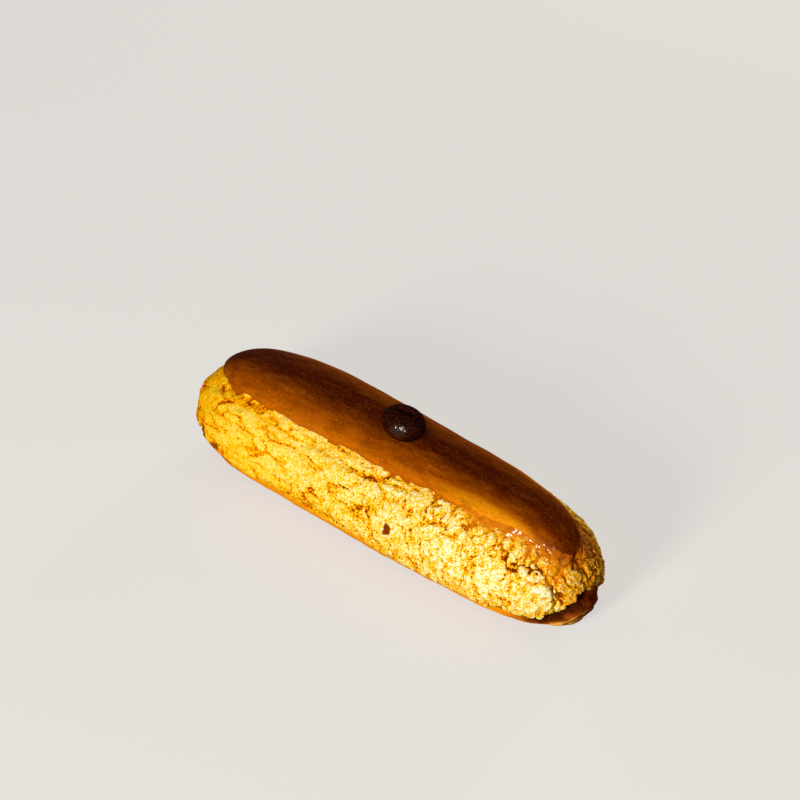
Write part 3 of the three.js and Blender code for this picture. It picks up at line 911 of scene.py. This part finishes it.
def make_icing():
    """The icing's rings of points, over its top and back under it, and their measures."""
    centre = (ICING_FAR + ICING_NEAR) / 2
    half_length = (ICING_NEAR - ICING_FAR) / 2 + FILM_TIP

    def front_edge(s):
        x = centre + half_length * s
        return np.stack([x, icing_edge(x, -1)], axis=-1)

    places = front_edge(even_stations(ICING_STATIONS, front_edge))[:, 0]
    across = np.linspace(0, 1, ICING_TOP_ROWS)
    below = np.linspace(1, 0, ICING_SEAT_ROWS)[1:-1]
    shares = np.concatenate([across, below])
    is_top = np.concatenate([np.ones_like(across), np.zeros_like(below)]) > 0
    x, share = np.meshgrid(places, shares, indexing="ij")
    return icing_surface(x, share, np.broadcast_to(is_top, x.shape))


icing_rings, icing_measures = make_icing()
print("icing is up to", icing_measures["thickness"].max().round(1), "mm thick over the crust")

# %% [markdown]
# ## The bean
# The chocolate coffee bean is an egg lying along the eclair, flatter on top, with the short seam of a
# coffee bean along it and a skin that wrinkled as it set. A squashed sphere would do for the egg, but
# rings of points let the seam and the wrinkles be part of the same formula. Both flanks are polished
# where fingers held it. It is pressed into the icing, so the icing's points inside it are pushed down
# to its underside.

# %% Bean
BEAN_LENGTH, BEAN_WIDTH = 13, 9.6
BEAN_ROUND_SIDE, BEAN_FLAT_SIDE = 4.3, 3.8
BEAN_SUNK = 1.3
BEAN_AT = (9.1, -1.8)
BEAN_YAW = -0.06
SEAM_DEPTH, SEAM_WIDTH, SEAM_SWAY, SEAM_OFFSET = 1.6, 1.25, 0.5, 0.4
SEAM_FADE = (0.25, 0.7)  # shares of the half length over which the seam runs out
BEAN_STATIONS, BEAN_ROWS = 130, 120
WRINKLE_SIZE, WRINKLE_HEIGHT = 0.5, 0.05
WRINKLE_PATCHES, WRINKLE_LEAST = (3, -0.5, 0.5), 0.4  # what is left of the wrinkles between their patches
TOUCHED = (2.7, -4.2, -0.4)  # where one finger polished it; another did across from there
POLISH_SPAN = (1.4, 3.0)  # distances from there at which the polish begins to fade, and is gone
PRESSED_GAP = 0.1


def bean_frame():
    """The bean's middle and its three directions, lying on the icing's slope."""
    x, y = (np.array([value]) for value in BEAN_AT)
    s, turn = seat(x, y)
    up = Vector(bun_normal(s, turn)[0])
    lift = GAP + ICING_THICKNESS + BEAN_ROUND_SIDE - BEAN_SUNK
    middle = Vector(bun_point(s, turn)[0]) + up * lift
    slope = Vector((0, 0, 1)).rotation_difference(up).to_matrix()
    return np.array(middle), np.array(slope @ Matrix.Rotation(BEAN_YAW, 3, "Z"))


def bean_surface(u, angle):
    """Points of the bean in its own directions: length along X, seam up."""
    share = np.sqrt(1 - u**2)
    y = share * BEAN_WIDTH / 2 * np.cos(angle)
    side = np.where(np.sin(angle) < 0, BEAN_ROUND_SIDE, BEAN_FLAT_SIDE)
    z = share * side * np.sin(angle)
    seam_line = SEAM_OFFSET + SEAM_SWAY * np.sin(np.pi * u)
    seam = np.exp(-(((y - seam_line) / SEAM_WIDTH) ** 2)) * (z > 0)
    seam = seam * (1 - smoothstep(*SEAM_FADE, np.abs(u)))
    z = z - SEAM_DEPTH * seam
    points = np.stack([BEAN_LENGTH / 2 * u, y, z], axis=-1)
    outward = points / np.array([BEAN_LENGTH, BEAN_WIDTH, BEAN_WIDTH]) ** 2
    outward = outward / np.linalg.norm(outward, axis=-1, keepdims=True)
    fold = 1 - 2 * np.abs(soft_noise(points / WRINKLE_SIZE, salt=61))
    wrinkled = lerp(WRINKLE_LEAST, 1, patchy(points, *WRINKLE_PATCHES, salt=62))
    wrinkle = WRINKLE_HEIGHT * fold * wrinkled
    touched = np.array(TOUCHED) * np.sign(-y)[..., None] ** np.array([1, 1, 0])
    polish = 1 - smoothstep(*POLISH_SPAN, np.linalg.norm(points - touched, axis=-1))
    return points + outward * wrinkle[..., None], {"polish": polish, "fold": fold}


def bean_outline(u):
    """The bean's edge seen from above."""
    return np.stack([BEAN_LENGTH / 2 * u, BEAN_WIDTH / 2 * np.sqrt(1 - u**2)], axis=-1)


def make_bean(middle, axes):
    """The bean's mesh, turned and moved to where it lies."""
    u = even_stations(BEAN_STATIONS, bean_outline)
    angle = -2 * np.pi * np.arange(BEAN_ROWS) / BEAN_ROWS
    points, measures = bean_surface(*np.meshgrid(u, angle, indexing="ij"))
    return ring_mesh("coffee_bean_coat", points @ axes.T + middle, measures)


def press_into(points, middle, axes):
    """The icing's points, with those inside the bean pushed down to its underside."""
    local = (points - middle) @ axes
    across = (local[..., 0] / (BEAN_LENGTH / 2)) ** 2 + (local[..., 1] / (BEAN_WIDTH / 2)) ** 2
    floor = -BEAN_ROUND_SIDE * np.sqrt(np.maximum(0, 1 - across)) - PRESSED_GAP
    pressed = np.where(across < 1, np.minimum(local[..., 2], floor), local[..., 2])
    return points + (pressed - local[..., 2])[..., None] * axes[:, 2]


bean_middle, bean_axes = bean_frame()
bean = make_bean(bean_middle, bean_axes)
icing = ring_mesh("icing_coat", press_into(icing_rings, bean_middle, bean_axes), icing_measures)

# %% [markdown]
# ## Finishes as expressions
# A finish is a graph of small nodes, and wiring it by hand is slow to read. The class below wraps
# one socket, so that sums and products of sockets can be written as Python and add their own Math
# nodes. Every other node comes from its one method: a type, its settings, and what goes in.

# %% Wire
class Wire:
    """A socket of a shader tree; arithmetic on wires adds Math nodes."""

    def __init__(self, tree, socket=None):
        self.tree = tree
        self.socket = socket

    def node(self, kind, settings, inputs, output=0):
        """A new node: settings first, then values or wires for its inputs; gives one output."""
        made = self.tree.nodes.new("ShaderNode" + kind)
        for name, value in settings.items():
            if name == "stops":
                self.set_stops(made.color_ramp, value)
            else:
                setattr(made, name, value)
        for name, value in inputs.items():
            if isinstance(value, Wire):
                self.tree.links.new(value.socket, made.inputs[name])
            else:
                made.inputs[name].default_value = value
        return Wire(self.tree, made.outputs[output]) if made.outputs else None

    @staticmethod
    def set_stops(ramp, stops):
        """Gives a colour ramp its positions and colours."""
        while len(ramp.elements) < len(stops):
            ramp.elements.new(1)
        for element, (position, colour) in zip(ramp.elements, stops):
            element.position = position
            element.color = (*colour, 1)

    def math(self, operation, first, second):
        """A Math node of two numbers or wires."""
        return self.node("Math", {"operation": operation}, {0: first, 1: second})

    def __add__(self, other):
        return self.math("ADD", self, other)

    def __radd__(self, other):
        return self.math("ADD", other, self)

    def __sub__(self, other):
        return self.math("SUBTRACT", self, other)

    def __rsub__(self, other):
        return self.math("SUBTRACT", other, self)

    def __mul__(self, other):
        return self.math("MULTIPLY", self, other)

    def __rmul__(self, other):
        return self.math("MULTIPLY", other, self)

    def ramp(self, low, high):
        """0 below low, 1 above high, and smooth between."""
        settings = {"interpolation_type": "SMOOTHSTEP"}
        return self.node("MapRange", settings, {"Value": self, "From Min": low, "From Max": high})

    def blend(self, start, end):
        """start where this wire is 0 and end where it is 1; both are colours or wires of colours."""
        start, end = (given if isinstance(given, Wire) else (*given, 1) for given in (start, end))
        return self.node("Mix", {"data_type": "RGBA"}, {"Factor": self, 6: start, 7: end}, output=2)


print("a wire knows", sorted(name for name in vars(Wire) if "_" not in name))

# %% What finishes share
FINE_DETAIL = 3.0  # noise with an octave more than usual


def start_finish(name):
    """A new material's empty tree, and the wires that most finishes start from."""
    material = bpy.data.materials.new(name)
    material.use_nodes = True
    material.node_tree.nodes.clear()
    root = Wire(material.node_tree)
    place = root.node("TexCoord", {}, {}, output="Object")
    return material, root, place


def measure(root, title):
    """A measure that the mesh stored with its points."""
    return root.node("Attribute", {"attribute_name": title}, {}, output="Fac")


def noise(root, place, size_mm, detail=2.0):
    """Soft noise around 0.5 with spots of about this size."""
    inputs = {"Vector": place, "Scale": 1 / (size_mm * MM), "Detail": detail}
    return root.node("TexNoise", {}, inputs)


def bump(root, height, depth_mm):
    """A normal bent as if the surface rose this far where the height is 1."""
    return root.node("Bump", {}, {"Height": height, "Distance": depth_mm * MM, "Strength": 1.0})


def close_finish(root, sockets, glossy_share=None, glossy_sockets=None):
    """The shader, its sockets given by name, and where asked for the glossy one that it turns into."""
    shader = root.node("BsdfPrincipled", {}, sockets)
    if glossy_sockets:
        glossy_shader = root.node("BsdfPrincipled", {}, {**sockets, **glossy_sockets})
        shader = root.node("MixShader", {}, {0: glossy_share, 1: shader, 2: glossy_shader})
    root.node("OutputMaterial", {}, {"Surface": shader})


def colour(red, green, blue):
    """A colour as picture programs give it, from 0 to 255, turned into the light that it reflects."""
    shares = [value / 255 for value in (red, green, blue)]
    return tuple(v / 12.92 if v <= 0.04045 else ((v + 0.055) / 1.055) ** 2.4 for v in shares)


print("golden crumb reflects", [round(value, 2) for value in colour(247, 201, 63)])

# %% [markdown]
# ## Biscuit finish
# Baked sugar and butter crumb is dry and golden, paler and browner in random spots, and brown where
# it tore and the bun shows through. Its crests are painted paler, as painted light, and its hollows
# darker, as painted shade, in place of how light falls on the crumb and scatters between it. A picture
# could be painted on, but the mesh already knows where its crests, cracks and bare places are. One
# tone from brown to pale is worked out from them: valleys, tears and what icing wetted lower it, and
# a ramp turns it into colour. Shape and colour then agree from every side. Crumb too fine for the mesh
# is a bump, and a little scattering softens it.

# %% Crust colours
CRUMB_TONES = (
    (0.0, colour(140, 56, 0)),
    (0.12, colour(206, 98, 0)),
    (0.28, colour(240, 162, 0)),
    (0.42, colour(249, 194, 10)),
    (0.56, colour(252, 212, 70)),
    (0.72, colour(253, 228, 144)),
    (0.92, colour(255, 244, 214)),
)
# TORN is the bun inside a tear: far darker than the bare bun below, as painted shade in the crack.
TORN = colour(104, 44, 2)
SIDE_FOOT = colour(250, 148, 12)
FAR_BROWN = colour(150, 66, 2)
# The near foot's layers from the base up to the crust's edge; the top runs to near black, as painted
# shade in the gap under the edge.
TIP_FOOT = (
    (0.0, colour(176, 78, 12)),
    (0.1, colour(226, 126, 28)),
    (0.17, colour(255, 204, 96)),
    (0.23, colour(206, 116, 24)),
    (0.29, colour(126, 54, 9)),
    (0.35, colour(255, 204, 96)),
    (0.41, colour(200, 108, 22)),
    (0.47, colour(104, 44, 8)),
    (0.53, colour(250, 180, 76)),
    (0.6, colour(166, 80, 16)),
    (0.72, colour(72, 28, 6)),
    (1.0, colour(28, 10, 3)),
)
# TIP_SHADE is painted shade on the near foot's back, turned from the lamp.
TIP_SHADE = colour(120, 42, 10)
# The chip's floor is bare bun, painted darker as shade in the hole.
CHIP_FLOOR_AND_SHADE = colour(128, 56, 0)
GLAZED = colour(226, 140, 6)
print("crumb goes through", len(CRUMB_TONES), "tones and the near foot through", len(TIP_FOOT))

# %% Crumb's tone
SPECKLE_SIZE, PATCH_SIZE = 0.45, 2.5
# The crumb's height and the grains' crests raise the tone, as painted light on what stands out and
# painted shade in what lies low; speckle and patches are tone that differs at random.
HEIGHT_LIGHT_AND_SHADE_PART, CREST_HIGHLIGHT_PART, SPECKLE_PART, PATCH_PART = 0.26, 0.1, 0.56, 0.08
CRUMB_SPAN, MOTTLE_SPAN = (-0.1, 0.1), (0.3, 0.7)
FAR_CONTRAST, COARSE_CONTRAST, GLAZE_EVENED = 0.45, 0.65, 0.2
# Valleys and tears lower the tone: the crumb is browner there, and darker still as painted shade in the
# crease.
VALLEY_BROWN, COARSE_VALLEY_BROWN, GLAZE_VALLEY_BROWN = 0.28, 0.2, 0.3
TEAR_BROWN, TEAR_BROWN_SPAN = 0.25, (-0.14, 0.04)  # millimetres from a tear's edge
# Wetted crust is browner; where the glaze reaches over the end's back, that is also painted shade.
WET_BROWN = 0.3


def crumb_tone(root, place, crest):
    """The crust's tone, from 0 for brown to 1 for pale, raised on crests as painted light and lowered in
    hollows as painted shade.
    """
    coarse, film, glaze = (measure(root, title) for title in ("coarse", "film", "glaze"))
    crumb = measure(root, "crumb").ramp(*CRUMB_SPAN)
    speckle = noise(root, place, SPECKLE_SIZE, FINE_DETAIL).ramp(*MOTTLE_SPAN)
    patches = noise(root, place, PATCH_SIZE).ramp(*MOTTLE_SPAN)
    mixture = HEIGHT_LIGHT_AND_SHADE_PART * crumb + CREST_HIGHLIGHT_PART * crest + SPECKLE_PART * speckle + PATCH_PART * patches
    contrast = (FAR_CONTRAST + COARSE_CONTRAST * coarse) * (1 - GLAZE_EVENED * glaze)
    tone = 0.5 + contrast * (mixture - 0.5) + measure(root, "pale")
    valley_brown_and_shade = VALLEY_BROWN + COARSE_VALLEY_BROWN * coarse + GLAZE_VALLEY_BROWN * glaze
    tear_brown_and_shade = TEAR_BROWN * measure(root, "torn").ramp(*TEAR_BROWN_SPAN)
    browned_and_shaded = valley_brown_and_shade * measure(root, "valley") + tear_brown_and_shade
    return tone - browned_and_shaded - WET_BROWN * film - WET_BROWN * glaze


print("crumb's tone is mixed in these parts:", HEIGHT_LIGHT_AND_SHADE_PART, CREST_HIGHLIGHT_PART, SPECKLE_PART, PATCH_PART)

# %% Biscuit crust
FINE_GRAIN, CREST_SPAN = 0.65, (0.1, 0.75)
TEAR_SPAN, CHIP_SPAN = (0.0, 0.16), (-0.12, 0.04)  # millimetres inside the edge
FILM_TINT, FILM_TINT_SPAN, GLAZE_TINT = 0.6, (0.4, 1.0), 0.4
SPOT_SPAN = (0.35, 0.6)
DUST_SIZE, DUST_PART, FAR_DUST, COARSE_DUST, DUST_HEIGHT = 0.3, 0.6, 0.3, 0.7, 0.14
FILM_SMOOTHS, DUST_SMOOTHED = 0.6, 0.9
DRY_ROUGHNESS, SMOOTH_ROUGHNESS_FALL = 0.9, 0.4
CRUMB_SOAK, CRUMB_SOAK_REACH, CRUMB_SOAK_COLOUR = 0.4, 1.0, (0.6, 0.35, 0.12)
FILM_COAT, GLAZE_COAT, COAT_ROUGHNESS = 0.3, 0.2, 0.07


def foot_colour(root, place):
    """Colours of the bare bun: layered at the near tip, with painted shade under the crust's edge and on
    the tip's back, and with brown spots at the far one.
    """
    layers = root.node("ValToRGB", {"stops": TIP_FOOT}, {"Fac": measure(root, "foot")})
    tip_foot = measure(root, "ridge").blend(TIP_SHADE, layers)
    far_foot = noise(root, place, PATCH_SIZE).ramp(*SPOT_SPAN).blend(SIDE_FOOT, FAR_BROWN)
    side_foot = measure(root, "far").blend(SIDE_FOOT, far_foot)
    return measure(root, "tip").blend(side_foot, tip_foot)


def make_biscuit_crust():
    """The material of the crust and of the bare bun below its edge."""
    material, root, place = start_finish("biscuit_crust")
    film, glaze, bare = (measure(root, title) for title in ("film", "glaze", "bare"))
    grain_inputs = {"Vector": place, "Scale": 1 / (FINE_GRAIN * MM)}
    # crest is 1 in each grain's middle: in the tone it paints light on the grain, in the bump it raises
    # it.
    crest = 1 - root.node("TexVoronoi", {}, grain_inputs, output="Distance").ramp(*CREST_SPAN)
    tone = crumb_tone(root, place, crest)
    surface = root.node("ValToRGB", {"stops": CRUMB_TONES}, {"Fac": tone})
    # Inside a tear the bare bun shows, darkened as painted shade in the crack.
    surface = measure(root, "torn").ramp(*TEAR_SPAN).blend(surface, TORN)
    # Icing turns the wetted crust amber; on the end's back the amber is also painted shade.
    wetted = FILM_TINT * film.ramp(*FILM_TINT_SPAN) + GLAZE_TINT * glaze
    surface = wetted.blend(surface, GLAZED)
    surface = bare.blend(surface, foot_colour(root, place))
    surface = measure(root, "chip").ramp(*CHIP_SPAN).blend(surface, CHIP_FLOOR_AND_SHADE)
    smooth = bare + FILM_SMOOTHS * film
    dust = crest + DUST_PART * noise(root, place, DUST_SIZE, FINE_DETAIL)
    dust = dust * (FAR_DUST + COARSE_DUST * measure(root, "coarse")) * (1 - DUST_SMOOTHED * smooth)
    close_finish(root, {
        "Base Color": surface,
        "Roughness": DRY_ROUGHNESS - SMOOTH_ROUGHNESS_FALL * smooth,
        "Subsurface Weight": CRUMB_SOAK,
        "Subsurface Radius": CRUMB_SOAK_COLOUR,
        "Subsurface Scale": CRUMB_SOAK_REACH * MM,
        "Specular IOR Level": 0.0,
        "Coat Weight": FILM_COAT * film + GLAZE_COAT * glaze,
        "Coat Roughness": COAT_ROUGHNESS,
        "Normal": bump(root, dust, DUST_HEIGHT),
    })
    return material


biscuit_crust = make_biscuit_crust()
print(biscuit_crust.name, "has", len(biscuit_crust.node_tree.nodes), "nodes")

# %% [markdown]
# ## Icing finish
# Coffee icing is sugar with a little fat: satin, caramel where it is thin and dark brown where it is
# thick. Real scattering would show that but is slow, so the colour is mixed from what the mesh
# stored: how far in from its edge a place lies, how runny the icing was there, and how thick it is.
# Its darkening towards the middle is also painted shade on the top, which the low lamp only grazes,
# and small pale dots on it are painted glints.
# Pouring drew streaks along it. The film dried in spots and stayed wet between them, and a coat of
# varnish over all of it would hide that, so a second, glossy shader is mixed in where it is wet.

# %% Poured icing's colour
EDGE_ICING = colour(186, 98, 3)
RUNNY_ICING = colour(230, 146, 8)
THIN_ICING = colour(164, 80, 2)
RIM_ICING = colour(157, 74, 1)
# DEEP_ICING_AND_SHADE is the icing's dark middle: thick icing, and darker still as painted shade on the
# top.
DEEP_ICING_AND_SHADE = colour(72, 15, 0)
DEPTH_SPAN, RIM_SPAN = (0.22, 0.88), (0.02, 0.26)  # shares of the way in from the edge
RUNNY_PALED, RUNNY_WIDENED = 0.12, 0.2
CLOUD_SIZE, CLOUD_LEAST, CLOUD_PART = 8.0, 0.8, 0.4
STREAK = (0.3, 1, 1)  # how much the pouring drew the icing's streaks out along its length
STREAK_SIZE, STREAK_DETAIL = 1.6, 4.0
PALE_STREAK, PALE_STREAK_SPAN, PALE_STREAK_HIDDEN = 0.5, (0.45, 0.75), 0.7
DARK_STREAK, DARK_STREAK_SPAN = 0.35, (0.55, 0.3)
MOTTLE_SIZE = 0.6
PALE_MOTTLE, PALE_MOTTLE_SPAN = 0.27, (0.5, 0.7)
DARK_MOTTLE, DARK_MOTTLE_SPAN = 0.3, (0.5, 0.3)


def icing_depth_and_shade(root, place):
    """How deep the colour is: 0 at the icing's edge, about 1 along its middle, and cloudy; the deep
    middle is partly painted shade.
    """
    cloud = CLOUD_LEAST + CLOUD_PART * noise(root, place, CLOUD_SIZE)
    return measure(root, "middle").ramp(*DEPTH_SPAN) * cloud * (1 - RUNNY_PALED * measure(root, "runny"))


def poured_colour(root, place, depth):
    """Colour of the poured coat: paler towards its edge, with streaks and a fine mottle."""
    runny = measure(root, "runny")
    edge = runny.blend(EDGE_ICING, RUNNY_ICING)
    inward = measure(root, "middle") - RUNNY_WIDENED * runny
    surface = depth.blend(inward.ramp(*RIM_SPAN).blend(edge, RIM_ICING), DEEP_ICING_AND_SHADE)
    drawn_out = root.node("VectorMath", {"operation": "MULTIPLY"}, {0: place, 1: STREAK})
    streaks = noise(root, drawn_out, STREAK_SIZE, STREAK_DETAIL)
    pale_streaks = PALE_STREAK * streaks.ramp(*PALE_STREAK_SPAN) * (1 - PALE_STREAK_HIDDEN * depth)
    surface = pale_streaks.blend(surface, EDGE_ICING)
    surface = (DARK_STREAK * streaks.ramp(*DARK_STREAK_SPAN)).blend(surface, DEEP_ICING_AND_SHADE)
    mottle = noise(root, place, MOTTLE_SIZE, FINE_DETAIL)
    surface = (PALE_MOTTLE * mottle.ramp(*PALE_MOTTLE_SPAN)).blend(surface, THIN_ICING)
    return (DARK_MOTTLE * mottle.ramp(*DARK_MOTTLE_SPAN)).blend(surface, DEEP_ICING_AND_SHADE)


print("icing's middle reflects", [round(value, 3) for value in DEEP_ICING_AND_SHADE])

# %% Coffee icing
FILM_ICING = colour(212, 122, 3)
# ICING_GLINT and its spans paint glints: small pale dots, fewer on the dark middle.
ICING_GLINT = colour(214, 140, 20)
FULL_COLOUR = 0.9  # thickness in millimetres that shows the coat's full colour
GLINT_SIZE, GLINT_SPAN = 0.5, (0.58, 0.72)
GLINT_PATCH_SIZE, GLINT_PATCH_SPAN = 5.0, (0.35, 0.6)
GLINT_STRENGTH, GLINT_HIDDEN = 0.65, 0.5
UNEVEN_SIZE, RIPPLE_SIZE, RIPPLE_PART, UNEVEN_HEIGHT = 3.0, 0.5, 0.3, 0.14
WET_SPOT_SIZE, WET_SPAN = 1.2, (0.42, 0.54)
SATIN_ROUGHNESS, SATIN_VARIES, SATIN_SHEEN = 0.42, 0.12, 0.02
WET_ROUGHNESS, WET_SHEEN = 0.06, 0.6
DROPLET_SIZE, DROPLET_PART = 0.9, 1.5


def make_coffee_icing():
    """The icing's material: the coat, the film, painted glints, and wet spots on the film."""
    material, root, place = start_finish("coffee_icing")
    film = measure(root, "film")
    depth = icing_depth_and_shade(root, place)
    thin = film.blend(THIN_ICING, FILM_ICING)
    thick = film.blend(poured_colour(root, place, depth), RIM_ICING)
    surface = measure(root, "thickness").ramp(0.0, FULL_COLOUR).blend(thin, thick)
    # painted glints, in patches
    painted_glints = noise(root, place, GLINT_SIZE, FINE_DETAIL).ramp(*GLINT_SPAN)
    painted_glints = painted_glints * noise(root, place, GLINT_PATCH_SIZE).ramp(*GLINT_PATCH_SPAN)
    surface = (painted_glints * (GLINT_STRENGTH - GLINT_HIDDEN * depth)).blend(surface, ICING_GLINT)
    uneven = noise(root, place, UNEVEN_SIZE) + RIPPLE_PART * noise(root, place, RIPPLE_SIZE)
    droplets = uneven + DROPLET_PART * noise(root, place, DROPLET_SIZE)
    spots = noise(root, place, WET_SPOT_SIZE)
    close_finish(root, {
        "Base Color": surface,
        "Roughness": SATIN_ROUGHNESS + SATIN_VARIES * spots,
        "Specular IOR Level": SATIN_SHEEN,
        "Normal": bump(root, uneven, UNEVEN_HEIGHT),
    }, film * spots.ramp(*WET_SPAN), {
        "Roughness": WET_ROUGHNESS,
        "Specular IOR Level": WET_SHEEN,
        "Normal": bump(root, droplets, UNEVEN_HEIGHT),
    })
    return material


coffee_icing = make_coffee_icing()
print(coffee_icing.name, "has", len(coffee_icing.node_tree.nodes), "nodes")

# %% [markdown]
# ## Chocolate finish
# The bean is dark chocolate whose skin set dull and wrinkled, and the tops of its folds are paler.
# Both flanks are polished by touch. A clear coat would shine all over, so a second, glossy shader is
# mixed in on the flanks alone. Its bump of small dents breaks the lamp's reflection into a cluster of
# highlights.

# %% Dark chocolate
CHOCOLATE = colour(26, 6, 3)
PALE_FOLD_TOP = colour(96, 36, 22)
FOLD_SPAN, FOLD_TOP_PALED, FOLD_RUBBED = (0.2, 1.0), 0.35, 0.12
DULL_ROUGHNESS, DULL_SHEEN = 0.5, 0.02
POLISHED_ROUGHNESS, POLISHED_SHEEN = 0.2, 1.0
DENT_SIZE, FINE_DENT_SIZE, FINE_DENT_PART, DENT_DEPTH = 0.9, 0.4, 0.4, 0.24


def make_dark_chocolate():
    """The bean's material: dull, paler on its folds, and polished on both flanks."""
    material, root, place = start_finish("dark_chocolate")
    fold = measure(root, "fold").ramp(*FOLD_SPAN)
    dents = FINE_DENT_PART * noise(root, place, FINE_DENT_SIZE) + noise(root, place, DENT_SIZE)
    close_finish(root, {
        "Base Color": (fold * FOLD_TOP_PALED).blend(CHOCOLATE, PALE_FOLD_TOP),
        "Roughness": DULL_ROUGHNESS - FOLD_RUBBED * fold,
        "Specular IOR Level": DULL_SHEEN,
    }, measure(root, "polish"), {
        "Roughness": POLISHED_ROUGHNESS,
        "Specular IOR Level": POLISHED_SHEEN,
        "Normal": bump(root, dents, DENT_DEPTH),
    })
    return material


dark_chocolate = make_dark_chocolate()
print(dark_chocolate.name, "has", len(dark_chocolate.node_tree.nodes), "nodes")

# %% [markdown]
# ## Dressing
# The solids could wear the finishes themselves, but their faces are far coarser than crumb. So each
# piece gets its finish and says which solid it stands for: that solid is hidden, and still serves for
# weight and contact.

# %% Dress the solids
DRESS = (
    (bun, "choux_bun", "biscuit_crust", biscuit_crust),
    (icing, "coffee_icing", "coffee_icing", coffee_icing),
    (bean, "coffee_bean", "dark_chocolate", dark_chocolate),
)
for piece, solid, slot, finish in DRESS:
    piece.data.materials.append(finish)
    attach(piece, "root")
    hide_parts(solid)
    print(piece.name, "stands for", solid)

# %% [markdown]
# ## Floor
# A pale sheet under the eclair catches its shadow. It is only stage, so it isn't part of the object.
# A very large flat one needs no seam in the background. Lit from low down it would come out grey, so
# it glows a little. It is hidden from bounced and mirrored light, so its glow doesn't reach the crust
# or lie on the icing as a haze.

# %% Floor
FLOOR_HALF_SIDE = 4.0  # in metres
FLOOR_SHEET = colour(150, 149, 148)
FLOOR_LIGHT = colour(247, 246, 244)
FLOOR_GLOW = 0.62
FLOOR_MOTTLE_SIZE, FLOOR_ROUGHNESS, FLOOR_VARIES, FLOOR_SHEEN = 30.0, 0.45, 0.1, 0.2


def make_floor():
    """The sheet at height 0 and its material, set apart from the object."""
    h = FLOOR_HALF_SIDE
    mesh = bpy.data.meshes.new("floor")
    mesh.from_pydata([(-h, -h, 0), (h, -h, 0), (h, h, 0), (-h, h, 0)], [], [(0, 1, 2, 3)])
    floor = bpy.data.objects.new("floor", mesh)
    bpy.context.scene.collection.objects.link(floor)
    material, root, place = start_finish("pale_floor")
    mottle = noise(root, place, FLOOR_MOTTLE_SIZE)
    close_finish(root, {
        "Base Color": (*FLOOR_SHEET, 1),
        "Roughness": FLOOR_ROUGHNESS + FLOOR_VARIES * mottle,
        "Specular IOR Level": FLOOR_SHEEN,
        "Emission Color": (*FLOOR_LIGHT, 1),
        "Emission Strength": FLOOR_GLOW,
    })
    mesh.materials.append(material)
    floor.visible_diffuse = False
    floor.visible_glossy = False
    floor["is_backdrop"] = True


make_floor()
print("floor laid at height 0")

# %% [markdown]
# ## Sizes
# The dressed eclair has to keep the solids' size. A picture doesn't show half a millimetre, so both
# boxes are measured and printed side by side.

# %% Boxes
boxes = {
    "solids": [list(corner) for corner in solid_box],
    "dressed": [list(corner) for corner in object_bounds()],
}
for title, (low, high) in boxes.items():
    print(title, "measure", [round((b - a) / MM, 1) for a, b in zip(low, high)], "mm")
